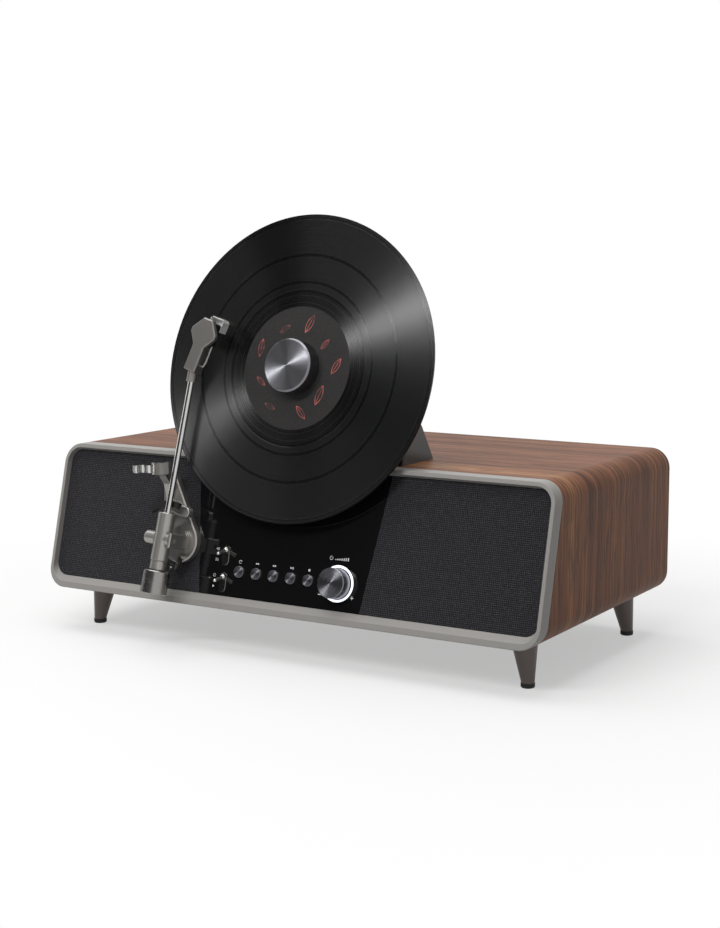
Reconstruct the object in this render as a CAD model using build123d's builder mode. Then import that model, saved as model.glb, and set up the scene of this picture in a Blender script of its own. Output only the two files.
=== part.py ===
from build123d import *
import os
from math import cos, radians, sin, sqrt

os.makedirs("parts", exist_ok=True)

# Frame: X to the right, Y from front to back, Z up from the floor.
# Places on the leaning front are given by three numbers: x across, s up the slope from
# the bottom edge of the front, and t forward of the rim, which is negative behind it.

# Cabinet
cabinet_width = 565.0
cabinet_height = 146.0
cabinet_depth = 304.0
corner_radius = 20.0
front_lean = 14.0
wood_wall = 9.0
leg_height = 45.0
fit_gap = 0.2

# Front bezel
flange_depth = 16.0
rim_side = 3.8
rim_top = 4.0
rim_bottom = 6.2
sill_height = 12.8
recess_side = 4.3
recess_top = 5.5
recess_depth = 6.0
recess_radius = 14.0
rim_edge_round = 0.8

# Grilles, panel and the board behind them
grille_thickness = 4.0
cloth_thickness = 0.6
grille_bar = 7.0
baffle_thickness = 6.0
panel_bottom_width = 185.6
panel_flare = 0.277

# Loudspeakers
speaker_x = 192.0
speaker_height = 78.0
speaker_opening = 37.0
basket_radius = 43.0
basket_thickness = 2.5
cone_depth = 15.0
magnet_radius = 32.0
magnet_thickness = 16.0
speaker_screw_circle = 40.5
speaker_screw_radius = 1.5
speaker_screw_turn = 45

# Legs
leg_top_radius = 13.0
leg_bottom_radius = 6.2
leg_splay_x = 6.5
leg_splay_y = 4.0
foot_x = 252.0
foot_front_y = 44.4
foot_back_y = 274.8
pad_height = 4.5
pad_radius = 6.6
stud_radius = 4.0

# Rear
cover_thickness = 4.0
cover_inset = 10.0
cover_screw_radius = 1.75
cover_screw_head = 3.4
cover_screw_margin = 16.0
corner_block = 33.0
corner_block_depth = 18.0
socket_spacing = 18.0
socket_x = 150.0
socket_z = 110.0
socket_body = 4.8
phono_radius = 4.2
phono_bore = 1.6
phono_reach = 8.0
aux_bore = 1.78
inlet_bore = 2.8
inlet_pin = 1.0
socket_depth = 12.0

# Record and what turns with it
record_radius = 150.8
record_thickness = 1.8
record_front = 11.6
record_rise = 88.83
groove_outer = 146.5
groove_inner = 72.0
groove_relief = 0.15
label_radius = 60.0
label_thickness = 0.1
spindle_radius = 3.6
spindle_fit = 0.03
mat_thickness = 1.5
platter_radius = 85.0
platter_thickness = 15.0
hub_radius = 58.0
hub_thickness = 8.0
clamp_radius = 26.0
clamp_height = 17.4
clamp_chamfer = 1.6
spindle_rise = 11.0

# Belt drive
belt_width = 4.0
belt_thickness = 0.8
motor_x = 58.0
motor_rise = 37.53
motor_radius = 14.0
motor_length = 17.0
motor_shaft_radius = 1.0
pulley_radius = 6.0

# Tower behind the record
tower_front = -21.0
tower_plate = 3.0
tower_half_width = 111.0
tower_shoulder_radius = 35.0
tower_shoulder_rise = 15.53
tower_arch_radius = 92.0
tower_column_back = -46.0
tower_base_back = -79.6
tower_base_back_rise = 19.73
tower_back_slope = 13.9 / 22.8
tower_ledge_rise = 54.03
tower_ledge_round = 14.0
tower_wall = 2.5
bearing_radius = 6.0
bearing_length = 24.0

# Controls
toggle_x = -66.0
toggle_s = (58.5, 32.0)
toggle_ball = 3.0
toggle_tip = 1.75
toggle_root = 1.2
toggle_reach = 13.6
toggle_drop = 20.0
toggle_pin = 0.7
bushing_wall = 0.8
escutcheon_radius = 4.1
escutcheon_drop = 11.4
escutcheon_thickness = 1.0
escutcheon_edge = 0.4
button_x = -48.0
button_pitch = 20.15
button_s = 38.4
button_radius = 5.7
button_proud = 2.0
button_travel = 1.0
knob_x = 65.7
knob_s = 38.8
knob_radius = 14.6
knob_height = 12.0
knob_lift = 1.2
knob_edge = 0.7
encoder_radius = 3.0
light_outer = 17.5
light_inner = 15.2
light_groove = 2.0

# Tonearm
pivot_x = -119.7
pivot_drop = 89.47
arm_turn = 3.3
arm_height = 28.0
tube_radius = 3.1
tube_end = 163.0
housing_radius = 8.6
housing_front = 26.0
housing_back = 21.5
rear_collar_radius = 8.0
rear_collar_length = 8.5
stub_radius = 3.4
weight_radius = 13.2
weight_length = 23.0
weight_gap = 1.2
trunnion_radius = 2.5
trunnion_knob = 6.6
block_size = 15.0
block_thickness = 3.0
block_u = 14.0
block_rise = 6.6
block_drop = 13.2
block_edge = 1.0
drum_radius = 14.6
drum_top = 7.0
base_radius = 21.0
base_front = 1.5
base_bevel = 1.2
pivot_pin_radius = 4.0
bore_clearance = 0.05
tail_left = 20.3
tail_rise = 57.0
tail_radius = 8.5
head_turn = 14.0
head_front = 36.0
head_back = 31.0
neck_v = 167.5


# Heights on the front that hang on its top edge
slope_height = cabinet_height / cos(radians(front_lean))
record_height = slope_height + record_rise
motor_s = slope_height + motor_rise
tower_shoulder_s = slope_height + tower_shoulder_rise
tower_base_back_s = slope_height + tower_base_back_rise
tower_ledge_s = slope_height + tower_ledge_rise
pivot_s = slope_height - pivot_drop


def face_point(x, s, t):
    """A point in space from its place on the leaning front."""
    lean = radians(front_lean)
    y = front_y + s * sin(lean) - t * cos(lean)
    return Vector(x, y, leg_height + s * cos(lean) + t * sin(lean))


def seat(x, s, t, facing="front", turn=0.0):
    """A plane on the leaning front that faces the viewer, up the slope or to the right."""
    lean, swing = radians(front_lean), radians(turn)
    front = Vector(0, -cos(lean), sin(lean))
    across = Vector(1, 0, 0) * cos(swing) - Vector(0, sin(lean), cos(lean)) * sin(swing)
    upward = Vector(1, 0, 0) * sin(swing) + Vector(0, sin(lean), cos(lean)) * cos(swing)
    x_dirs = {"front": across, "up": across, "side": upward}
    z_dirs = {"front": front, "up": upward, "side": across}
    return Plane(origin=face_point(x, s, t), x_dir=x_dirs[facing], z_dir=z_dirs[facing])


def turned(plane, x=0.0, y=0.0, z=0.0):
    """The same plane turned by angles about its own axes."""
    return Plane(plane.location * Rot(x, y, z))


def arm_seat(u, v, t, facing="front", turn=0.0):
    """A plane on the tonearm: u across it, v along it from its pivot."""
    swing = radians(arm_turn)
    x = pivot_x + u * cos(swing) + v * sin(swing)
    s = pivot_s - u * sin(swing) + v * cos(swing)
    return seat(x, s, t, facing, arm_turn + turn)


def finish(piece, label):
    """Name a finished piece and write it."""
    piece.part.label = label
    export_step(piece.part, f"parts/{label}.step")


# The frontmost point of the whole is the counterweight, so the origin sits midway
# between it and the back of the cabinet.
weight_top_v = -(housing_back + rear_collar_length + weight_gap)
weight_end_v = weight_top_v - weight_length
lowest_s = pivot_s + weight_end_v * cos(radians(arm_turn))
front_reach = (arm_height + weight_radius) * cos(radians(front_lean)) - lowest_s * sin(radians(front_lean))
front_y = (front_reach - cabinet_depth) / 2
back_y = front_y + cabinet_depth
outward = Axis(face_point(0, 0, 0), seat(0, 0, 0).z_dir)
arm_across = Axis(face_point(0, 0, 0), arm_seat(0, 0, 0).x_dir)

cabinet_top = leg_height + cabinet_height
cabinet_middle = leg_height + cabinet_height / 2
back_plane = Plane(origin=(0, back_y, cabinet_middle), x_dir=(1, 0, 0), z_dir=(0, -1, 0))
inner_width = cabinet_width - 2 * wood_wall
inner_height = cabinet_height - 2 * wood_wall

# Cabinet sleeve: a rounded tube of veneered board, its front cut to the lean of the face.
foot_y = (front_y + foot_front_y, front_y + foot_back_y)
leg_inset = (foot_x - leg_splay_x, leg_splay_y)
leg_tops = [
    (side * leg_inset[0], y + inward * leg_inset[1])
    for side in (-1, 1)
    for y, inward in ((foot_y[0], 1), (foot_y[1], -1))
]
tower_wire_hole = 8.0
tower_wire_inset = 90.0

screw_x = inner_width / 2 - cover_screw_margin
screw_z = inner_height / 2 - cover_screw_margin
cover_screws = [(x, z) for x in (-screw_x, 0, screw_x) for z in (-screw_z, screw_z)]

with BuildPart() as cabinet_sleeve:
    with BuildSketch(back_plane):
        RectangleRounded(cabinet_width, cabinet_height, corner_radius)
        RectangleRounded(inner_width, inner_height, corner_radius - wood_wall, mode=Mode.SUBTRACT)
    extrude(amount=cabinet_depth)
    split(bisect_by=seat(0, 0, -flange_depth), keep=Keep.BOTTOM)
    with BuildSketch(Plane.XY.offset(leg_height)):
        with Locations(*leg_tops):
            Circle(stud_radius + fit_gap)
    extrude(amount=wood_wall, mode=Mode.SUBTRACT)
    with BuildSketch(Plane.XY.offset(cabinet_top)):
        with Locations((0, front_y + tower_wire_inset)):
            Circle(tower_wire_hole)
    extrude(amount=-wood_wall, mode=Mode.SUBTRACT)
    with BuildSketch(back_plane.offset(cover_inset + cover_thickness)):
        with Locations(*cover_screws):
            Rectangle(corner_block, corner_block)
        RectangleRounded(inner_width + fit_gap, inner_height + fit_gap, corner_radius - wood_wall,
                         mode=Mode.INTERSECT)
    extrude(amount=corner_block_depth)
    with BuildSketch(back_plane.offset(cover_inset + cover_thickness)):
        with Locations(*cover_screws):
            Circle(cover_screw_radius + bore_clearance)
    extrude(amount=corner_block_depth, mode=Mode.SUBTRACT)
finish(cabinet_sleeve, "cabinet_sleeve")

# Bezel: the same outline carried to the front, with a recess whose sill slopes inwards.
opening_width = cabinet_width - 2 * rim_side
opening_height = slope_height - rim_bottom - rim_top
opening_s = rim_bottom + opening_height / 2
recess_width = cabinet_width - 2 * recess_side
recess_height = slope_height - sill_height - recess_top
recess_s = sill_height + recess_height / 2
recess_floor = -recess_depth
baffle_front = recess_floor - grille_thickness
baffle_back = baffle_front - baffle_thickness

with BuildPart() as front_bezel:
    with BuildSketch(back_plane):
        RectangleRounded(cabinet_width, cabinet_height, corner_radius)
    extrude(amount=cabinet_depth)
    split(bisect_by=seat(0, 0, 0), keep=Keep.BOTTOM)
    split(bisect_by=seat(0, 0, -flange_depth), keep=Keep.TOP)
    rim_edges = front_bezel.faces().sort_by(Axis.Y)[0].outer_wire().edges()
    fillet(rim_edges, rim_edge_round)
    with BuildSketch(seat(0, opening_s, 0)):
        RectangleRounded(opening_width, opening_height, recess_radius + rim_side / 2)
    with BuildSketch(seat(0, recess_s, recess_floor)):
        RectangleRounded(recess_width, recess_height, recess_radius)
    loft(ruled=True, mode=Mode.SUBTRACT)
    with BuildSketch(seat(0, recess_s, recess_floor)):
        RectangleRounded(recess_width, recess_height, recess_radius)
    extrude(amount=-flange_depth, mode=Mode.SUBTRACT)
finish(front_bezel, "front_bezel")

# Front panel, grilles and baffle board share the outline of the recess.
panel_top_width = panel_bottom_width + panel_flare * recess_height
panel_low = sill_height + fit_gap
panel_high = sill_height + recess_height - fit_gap
spigot_radius = 12.0
board_outline = RectangleRounded(
    recess_width - 2 * fit_gap, recess_height - 2 * fit_gap, recess_radius, mode=Mode.PRIVATE
)
panel_line = Polyline(
    (-panel_bottom_width / 2, panel_low),
    (panel_bottom_width / 2, panel_low),
    (panel_top_width / 2, panel_high),
    (-panel_top_width / 2, panel_high),
    close=True,
)
panel_outline = make_face(panel_line)
buttons = [(button_x + number * button_pitch, button_s) for number in range(5)]
toggles = [(toggle_x, s) for s in toggle_s]
barrel_radius = toggle_ball + bore_clearance * 2 + bushing_wall

with BuildPart() as centre_panel:
    with BuildSketch(seat(0, 0, baffle_front)):
        add(panel_outline)
        with Locations(*toggles):
            Circle(barrel_radius + bore_clearance, mode=Mode.SUBTRACT)
        with Locations(*buttons):
            Circle(button_radius + 2 * bore_clearance, mode=Mode.SUBTRACT)
        with Locations((knob_x, knob_s)):
            Circle(encoder_radius + fit_gap, mode=Mode.SUBTRACT)
    extrude(amount=grille_thickness)
    with BuildSketch(seat(knob_x, knob_s, recess_floor)):
        Circle(light_outer + bore_clearance)
        Circle(light_inner - bore_clearance, mode=Mode.SUBTRACT)
    extrude(amount=-light_groove, mode=Mode.SUBTRACT)
finish(centre_panel, "centre_panel")

grille_post_x = 149.0
grille_post = 6.0
post_pad = 21.0
cloth_back = recess_floor - cloth_thickness


def grille_outline(side, inset):
    """One speaker grille's outline: the recess less the panel and a named inset."""
    edge = fit_gap + inset
    whole = Pos(0, recess_s) * RectangleRounded(
        recess_width - 2 * edge, recess_height - 2 * edge, max(recess_radius - inset, 1)
    )
    low = (side * (panel_bottom_width / 2 + edge), panel_low)
    high = (side * (panel_top_width / 2 + edge), panel_high)
    far = -side * recess_width
    cut = make_face(Polyline(low, high, (far, panel_high), (far, panel_low), close=True))
    return whole - cut


grille_faces = {side: grille_outline(side, 0) for side in (-1, 1)}
grille_holes = {side: grille_outline(side, grille_bar) for side in (-1, 1)}
pivot_place = (pivot_x, pivot_s)

for side, label in ((-1, "grille_frame_left"), (1, "grille_frame_right")):
    with BuildPart() as grille_frame:
        with BuildSketch(seat(0, 0, baffle_front)):
            add(grille_faces[side])
            add(grille_holes[side], mode=Mode.SUBTRACT)
            with Locations((side * grille_post_x, recess_s)):
                Rectangle(grille_post, recess_height - grille_bar)
            if side < 0:
                with Locations(pivot_place):
                    Circle(post_pad)
                add(grille_faces[side], mode=Mode.INTERSECT)
                with Locations(pivot_place):
                    Circle(spigot_radius + fit_gap, mode=Mode.SUBTRACT)
        extrude(amount=grille_thickness - cloth_thickness)
    finish(grille_frame, label)

with BuildPart() as grille_cloth:
    with BuildSketch(seat(0, 0, cloth_back)):
        add(grille_faces[-1])
        add(grille_faces[1])
        with Locations(pivot_place):
            Circle(spigot_radius + fit_gap, mode=Mode.SUBTRACT)
    extrude(amount=cloth_thickness)
finish(grille_cloth, "grille_cloth")

speakers = [(side * speaker_x, speaker_height) for side in (-1, 1)]
control_margin = 10.0
control_left = toggle_x - control_margin
control_right = knob_x + knob_radius + control_margin
control_low = toggle_s[1] - control_margin
control_high = toggle_s[0] + control_margin
control_middle = ((control_left + control_right) / 2, (control_low + control_high) / 2)
control_size = (control_right - control_left, control_high - control_low)
base_screw_circle = 8.5
base_screws = 3

with BuildPart() as baffle_board:
    with BuildSketch(seat(0, recess_s, baffle_back)):
        add(board_outline)
    extrude(amount=baffle_thickness)
    with BuildSketch(seat(0, 0, baffle_back)):
        with Locations(*speakers):
            Circle(speaker_opening)
            with PolarLocations(speaker_screw_circle, 4, speaker_screw_turn):
                Circle(speaker_screw_radius + bore_clearance)
        with Locations(control_middle):
            Rectangle(*control_size)
        with Locations(pivot_place):
            with PolarLocations(base_screw_circle, base_screws):
                Circle(speaker_screw_radius + bore_clearance)
    extrude(amount=baffle_thickness, mode=Mode.SUBTRACT)
finish(baffle_board, "baffle_board")

# Loudspeakers: a basket with its magnet, and a paper cone with a dust cap.
lip_step = 1.0
basket_lip = speaker_opening - lip_step
basket_neck = 20.0
cone_wall = 0.8
cone_clear = 0.6
cone_neck = 10.0
basket_back = baffle_back - basket_thickness
magnet_front = basket_back - cone_depth
magnet_back = magnet_front - magnet_thickness
dust_cap_radius = 11.0
dust_cap_rise = 3.0


def speaker_seat(side):
    """The half-plane that turns about a loudspeaker's axis: x outwards, y forwards."""
    centre = seat(side * speaker_x, speaker_height, 0)
    return Plane(origin=centre.origin, x_dir=centre.x_dir, z_dir=-centre.y_dir)


for side, label in ((-1, "speaker_left"), (1, "speaker_right")):
    half_plane = speaker_seat(side)
    axis = Axis(half_plane.origin, half_plane.y_dir)
    with BuildPart() as speaker:
        with BuildSketch(half_plane):
            with BuildLine():
                Polyline(
                    (0, magnet_back),
                    (magnet_radius, magnet_back),
                    (magnet_radius, magnet_front),
                    (basket_lip + lip_step, basket_back),
                    (basket_radius, basket_back),
                    (basket_radius, baffle_back),
                    (basket_lip, baffle_back),
                    (basket_lip - lip_step, basket_back),
                    (basket_neck, magnet_front + cone_clear),
                    (0, magnet_front + cone_clear),
                    close=True,
                )
            make_face()
        revolve(axis=axis)
        with BuildSketch(seat(side * speaker_x, speaker_height, basket_back)):
            with PolarLocations(speaker_screw_circle, 4, speaker_screw_turn):
                Circle(speaker_screw_radius + bore_clearance)
        extrude(amount=basket_thickness, mode=Mode.SUBTRACT)
    finish(speaker, label)

cone_hem = 2.0
cone_hem_width = 1.5
cone_rim = basket_lip - lip_step - cone_clear
cap_curve = (dust_cap_radius**2 + dust_cap_rise**2) / (2 * dust_cap_rise)
cone_front = baffle_back - lip_step
cone_back = magnet_front + 2 * cone_clear + cone_wall
cap_base = cone_back + cone_hem
cap_top = cap_base + dust_cap_rise
with BuildPart() as speaker_cones:
    for side in (-1, 1):
        half_plane = speaker_seat(side)
        axis = Axis(half_plane.origin, half_plane.y_dir)
        with BuildSketch(half_plane):
            with BuildLine():
                Polyline(
                    (0, cap_top),
                    (0, cone_back),
                    (cone_neck, cone_back),
                    (cone_rim - cone_hem_width, cone_front - cone_hem),
                    (cone_rim, cone_front - cone_hem),
                    (cone_rim, cone_front),
                    (cone_rim - 2 * cone_hem_width, cone_front),
                    (dust_cap_radius, cap_base),
                )
                RadiusArc((dust_cap_radius, cap_base), (0, cap_top), -cap_curve)
            make_face()
        revolve(axis=axis)
finish(speaker_cones, "speaker_cones")

# Control board behind the baffle, with a switch for each button and the knob's encoder.
board_gap = 2.5
board_thickness = 1.6
board_margin = 8.0
switch_size = 6.0
switch_top = -14.2
stand_radius = 2.5
stand_inset = 3.5
toggle_clear = 7.0
board_front = baffle_back - board_gap
board_left = toggle_x + toggle_clear
board_right = control_right + board_margin
board_low = control_low - board_margin / 2
board_high = control_high + board_margin
board_centre = ((board_left + board_right) / 2, (board_low + board_high) / 2)
board_size = (board_right - board_left, board_high - board_low)
encoder_size = 12.0
encoder_gap = 1.0
encoder_front = baffle_front - encoder_gap
stands = [
    (x, s)
    for x in (board_left + 2 * stand_radius, board_right - stand_inset)
    for s in (board_low + stand_radius, board_high - stand_radius)
]

with BuildPart() as control_board:
    with BuildSketch(seat(0, 0, board_front)):
        with Locations(board_centre):
            Rectangle(*board_size)
    extrude(amount=-board_thickness)
    with BuildSketch(seat(0, 0, board_front)):
        with Locations(*stands):
            Circle(stand_radius)
    extrude(amount=board_gap)
    with BuildSketch(seat(0, 0, board_front)):
        with Locations(*buttons):
            Rectangle(switch_size, switch_size)
    extrude(amount=switch_top - board_front)
    with BuildSketch(seat(knob_x, knob_s, board_front)):
        Rectangle(encoder_size, encoder_size)
    extrude(amount=encoder_front - board_front)
    with BuildSketch(seat(knob_x, knob_s, encoder_front)):
        Circle(encoder_radius + bore_clearance)
    extrude(amount=board_front - encoder_front, mode=Mode.SUBTRACT)
finish(control_board, "control_board")

# Buttons: a cap with a stepped flange behind the panel and a stem over its switch.
button_lip = 1.2
button_edge = 0.5
button_stem = 2.0
flange_gap = 0.1
stem_end = switch_top + button_travel + fit_gap
button_front = recess_floor + button_proud
button_names = ("button_repeat", "button_previous", "button_next", "button_play", "button_stop")
for place, label in zip(buttons, button_names):
    with BuildPart() as button:
        with BuildSketch(seat(*place, button_front)):
            Circle(button_radius)
        extrude(amount=baffle_front - flange_gap - button_front)
        chamfer(button.edges().group_by(outward)[-1], button_edge)
        with BuildSketch(seat(*place, baffle_front - flange_gap)):
            Circle(button_radius + button_lip)
        extrude(amount=-button_lip)
        with BuildSketch(seat(*place, baffle_front - flange_gap - button_lip)):
            Circle(button_stem)
        extrude(amount=stem_end - baffle_front + flange_gap + button_lip)
    finish(button, label)

# Toggle switches: a long plate with a barrel at its top end, and a lever that rocks in
# the barrel on a cross pin.
barrel_length = 7.0
escutcheon_front = recess_floor + escutcheon_thickness
nut_front = escutcheon_front + bushing_wall
barrel_back = recess_floor - barrel_length
switch_body = (12.0, 8.0, 9.0)
ball_depth = 1.2
ball_t = nut_front - ball_depth
pin_half = toggle_ball + bore_clearance + bushing_wall / 2
with BuildPart() as toggle_bushings:
    for x, s in toggles:
        with BuildSketch(seat(x, s - escutcheon_drop / 2, recess_floor)):
            SlotOverall(escutcheon_drop + 2 * escutcheon_radius, 2 * escutcheon_radius, rotation=90)
        extrude(amount=escutcheon_thickness)
    chamfer(toggle_bushings.edges().group_by(outward)[-1], escutcheon_edge)
    for place in toggles:
        with BuildSketch(seat(*place, barrel_back)):
            Circle(barrel_radius)
        extrude(amount=nut_front - barrel_back)
        with BuildSketch(seat(*place, barrel_back)):
            Circle(toggle_ball + 2 * bore_clearance)
        extrude(amount=nut_front - barrel_back, mode=Mode.SUBTRACT)
        with BuildSketch(seat(*place, ball_t, "side")):
            Circle(toggle_pin + bore_clearance)
        extrude(amount=pin_half + bore_clearance, both=True, mode=Mode.SUBTRACT)
        with BuildSketch(seat(*place, barrel_back)):
            Rectangle(*switch_body[:2])
        extrude(amount=-switch_body[2])
finish(toggle_bushings, "toggle_bushings")

for place, label in zip(toggles, ("toggle_speed", "toggle_mode")):
    ball_plane = seat(*place, ball_t)
    lever_plane = turned(ball_plane, x=toggle_drop)
    with BuildPart() as toggle:
        with Locations(ball_plane):
            Sphere(toggle_ball)
        with BuildSketch(seat(*place, ball_t, "side")):
            Circle(toggle_pin)
        extrude(amount=pin_half, both=True)
        with BuildSketch(lever_plane):
            Circle(toggle_root)
        with BuildSketch(lever_plane.offset(toggle_reach)):
            Circle(toggle_tip)
        loft()
        with Locations(lever_plane.offset(toggle_reach)):
            Sphere(toggle_tip)
    finish(toggle, label)

# Volume: the encoder's shaft, the knob pressed on it, and the ring of light round it.
shaft_back = board_front + button_travel + flange_gap
knob_back = recess_floor + knob_lift
knob_front = knob_back + knob_height
knob_crown = 3.0
shaft_front = knob_front - knob_crown
with BuildPart() as encoder_shaft:
    with BuildSketch(seat(knob_x, knob_s, shaft_back)):
        Circle(encoder_radius)
    extrude(amount=shaft_front - shaft_back)
finish(encoder_shaft, "encoder_shaft")

with BuildPart() as volume_knob:
    with BuildSketch(seat(knob_x, knob_s, knob_back)):
        Circle(knob_radius)
    extrude(amount=knob_height)
    chamfer(volume_knob.edges().group_by(outward)[-1], knob_edge)
    with BuildSketch(seat(knob_x, knob_s, knob_back)):
        Circle(encoder_radius + spindle_fit)
    extrude(amount=shaft_front - knob_back + flange_gap, mode=Mode.SUBTRACT)
finish(volume_knob, "volume_knob")

with BuildPart() as light_ring:
    with BuildSketch(seat(knob_x, knob_s, recess_floor - light_groove)):
        Circle(light_outer)
        Circle(light_inner, mode=Mode.SUBTRACT)
    extrude(amount=light_groove)
finish(light_ring, "light_ring")

# Legs: oblique cones with a stud that goes up into the floor of the sleeve.
leg_names = ("leg_front_left", "leg_back_left", "leg_front_right", "leg_back_right")
leg_feet = [(side * foot_x, y) for side in (-1, 1) for y in foot_y]
stud_gap = 1.0
stud_length = wood_wall - stud_gap
pad_share = pad_height / leg_height
pad_round = 1.5
pads = []
for top, foot, label in zip(leg_tops, leg_feet, leg_names):
    low = tuple(foot[n] + (top[n] - foot[n]) * pad_share for n in range(2))
    pads.append(low)
    with BuildPart() as leg:
        with BuildSketch(Plane.XY.offset(pad_height)):
            with Locations(low):
                Circle(leg_bottom_radius)
        with BuildSketch(Plane.XY.offset(leg_height)):
            with Locations(top):
                Circle(leg_top_radius)
        loft()
        with BuildSketch(Plane.XY.offset(leg_height)):
            with Locations(top):
                Circle(stud_radius)
        extrude(amount=stud_length)
    finish(leg, label)

with BuildPart() as foot_pads:
    with BuildSketch():
        with Locations(*pads):
            Circle(pad_radius)
    extrude(amount=pad_height)
    fillet(foot_pads.edges().group_by(Axis.Z)[0], pad_round)
finish(foot_pads, "foot_pads")

# Rear cover with its screws and sockets.
cover_back = back_plane.offset(cover_inset)
sockets = [(socket_x + number * socket_spacing, socket_z - cabinet_middle) for number in (-1, 0, 1)]
inlet = (-socket_x, socket_z - cabinet_middle)
inlet_radius = 5.5
with BuildPart() as rear_cover:
    with BuildSketch(cover_back):
        RectangleRounded(inner_width - 2 * fit_gap, inner_height - 2 * fit_gap,
                         corner_radius - wood_wall - fit_gap)
        with Locations(*cover_screws):
            Circle(cover_screw_radius + bore_clearance, mode=Mode.SUBTRACT)
        with Locations(*sockets):
            Circle(socket_body + bore_clearance, mode=Mode.SUBTRACT)
        with Locations(inlet):
            Circle(inlet_radius + bore_clearance, mode=Mode.SUBTRACT)
    extrude(amount=cover_thickness)
finish(rear_cover, "rear_cover")

screw_end_gap = 4.0
small_end_gap = 1.0
base_screw_reach = 1.0
screw_length = cover_thickness + corner_block_depth - screw_end_gap
small_length = basket_thickness + baffle_thickness - small_end_gap
small_head = 2.8
with BuildPart() as cover_screw_set:
    with BuildSketch(cover_back):
        with Locations(*cover_screws):
            Circle(cover_screw_head)
    extrude(amount=-cover_screw_radius)
    with BuildSketch(cover_back):
        with Locations(*cover_screws):
            Circle(cover_screw_radius)
    extrude(amount=screw_length)
finish(cover_screw_set, "cover_screws")

with BuildPart() as baffle_screws:
    with BuildSketch(seat(0, 0, basket_back)):
        with Locations(*speakers):
            with PolarLocations(speaker_screw_circle, 4, speaker_screw_turn):
                Circle(small_head)
    extrude(amount=-speaker_screw_radius)
    with BuildSketch(seat(0, 0, basket_back)):
        with Locations(*speakers):
            with PolarLocations(speaker_screw_circle, 4, speaker_screw_turn):
                Circle(speaker_screw_radius)
    extrude(amount=small_length)
    with BuildSketch(seat(0, 0, baffle_back)):
        with Locations(pivot_place):
            with PolarLocations(base_screw_circle, base_screws):
                Circle(small_head)
    extrude(amount=-speaker_screw_radius)
    with BuildSketch(seat(0, 0, baffle_back)):
        with Locations(pivot_place):
            with PolarLocations(base_screw_circle, base_screws):
                Circle(speaker_screw_radius)
    extrude(amount=basket_thickness + baffle_thickness + base_screw_reach)
finish(baffle_screws, "baffle_screws")

socket_plate = (3 * socket_spacing, 16.0, 2.0)
with BuildPart() as audio_sockets:
    with BuildSketch(cover_back.offset(cover_thickness)):
        with Locations(sockets[1]):
            Rectangle(*socket_plate[:2])
    extrude(amount=socket_plate[2])
    with BuildSketch(cover_back.offset(cover_thickness)):
        with Locations(*sockets):
            Circle(socket_body)
    extrude(amount=-cover_thickness)
    with BuildSketch(cover_back):
        with Locations(*sockets[1:]):
            Circle(phono_radius)
    extrude(amount=-phono_reach)
    with BuildSketch(cover_back.offset(-phono_reach)):
        with Locations(*sockets[1:]):
            Circle(phono_bore)
    extrude(amount=phono_reach + cover_thickness, mode=Mode.SUBTRACT)
    with BuildSketch(cover_back.offset(cover_thickness + socket_plate[2])):
        with Locations(sockets[0]):
            Circle(socket_body)
    extrude(amount=socket_depth)
    with BuildSketch(cover_back):
        with Locations(sockets[0]):
            Circle(aux_bore)
    extrude(amount=socket_depth, mode=Mode.SUBTRACT)
finish(audio_sockets, "audio_sockets")

inlet_wall = 1.5
with BuildPart() as power_inlet:
    with BuildSketch(cover_back.offset(cover_thickness)):
        with Locations(inlet):
            RectangleRounded(3 * inlet_radius, 3 * inlet_radius, inlet_wall)
    extrude(amount=inlet_wall)
    with BuildSketch(cover_back):
        with Locations(inlet):
            Circle(inlet_radius)
    extrude(amount=socket_depth)
    with BuildSketch(cover_back):
        with Locations(inlet):
            Circle(inlet_bore)
            Circle(inlet_pin, mode=Mode.SUBTRACT)
    extrude(amount=socket_depth - inlet_wall, mode=Mode.SUBTRACT)
finish(power_inlet, "power_inlet")

# Main board on the floor of the sleeve, with its reservoir capacitors and heat sink.
main_width = 150.0
main_depth = 90.0
main_size = (main_width, main_depth)
main_inset = 90.0
main_stand_margin = 5.0
main_y = back_y - main_inset
main_stand = 7.0
stand_grid = [size - 2 * main_stand_margin for size in main_size]
sleeve_floor = leg_height + wood_wall
heat_sink = (40.0, 12.0, 28.0)
capacitor_radius = 8.0
capacitor_height = 26.0
with BuildPart() as main_board:
    with BuildSketch(Plane.XY.offset(sleeve_floor)):
        with Locations((0, main_y)):
            with GridLocations(*stand_grid, 2, 2):
                Circle(stand_radius)
    extrude(amount=main_stand)
    with BuildSketch(Plane.XY.offset(sleeve_floor + main_stand)):
        with Locations((0, main_y)):
            Rectangle(*main_size)
    extrude(amount=board_thickness)
    with BuildSketch(Plane.XY.offset(sleeve_floor + main_stand + board_thickness)):
        with Locations((0, main_y + main_depth / 4)):
            Rectangle(*heat_sink[:2])
    extrude(amount=heat_sink[2])
    with BuildSketch(Plane.XY.offset(sleeve_floor + main_stand + board_thickness)):
        with Locations((0, main_y - main_depth / 5)):
            with GridLocations(3 * capacitor_radius, 1, 2, 1):
                Circle(capacitor_radius)
    extrude(amount=capacitor_height)
finish(main_board, "main_board")

# Tower: a flat plate that faces the record and a hollow shell behind it.
tower_middle = tower_front - tower_plate
tower_low = tower_shoulder_s - tower_shoulder_radius
tower_high = record_height + tower_arch_radius
tower_shoulder_x = tower_half_width - tower_shoulder_radius
tower_inner_round = 3.0
bearing_flange = 10.0
bearing_flange_thickness = 2.0
motor_boss = 4.0


def tower_outline(inset):
    """The tower seen from the front, in from its edge by a named inset."""
    with BuildSketch() as outline:
        with Locations((0, record_height)):
            Circle(tower_arch_radius - inset)
        with Locations((0, tower_shoulder_s - tower_shoulder_radius)):
            with GridLocations(2 * tower_shoulder_x, 2 * tower_shoulder_radius, 2, 2):
                Circle(tower_shoulder_radius - inset)
        make_hull()
    return outline.sketch


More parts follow.
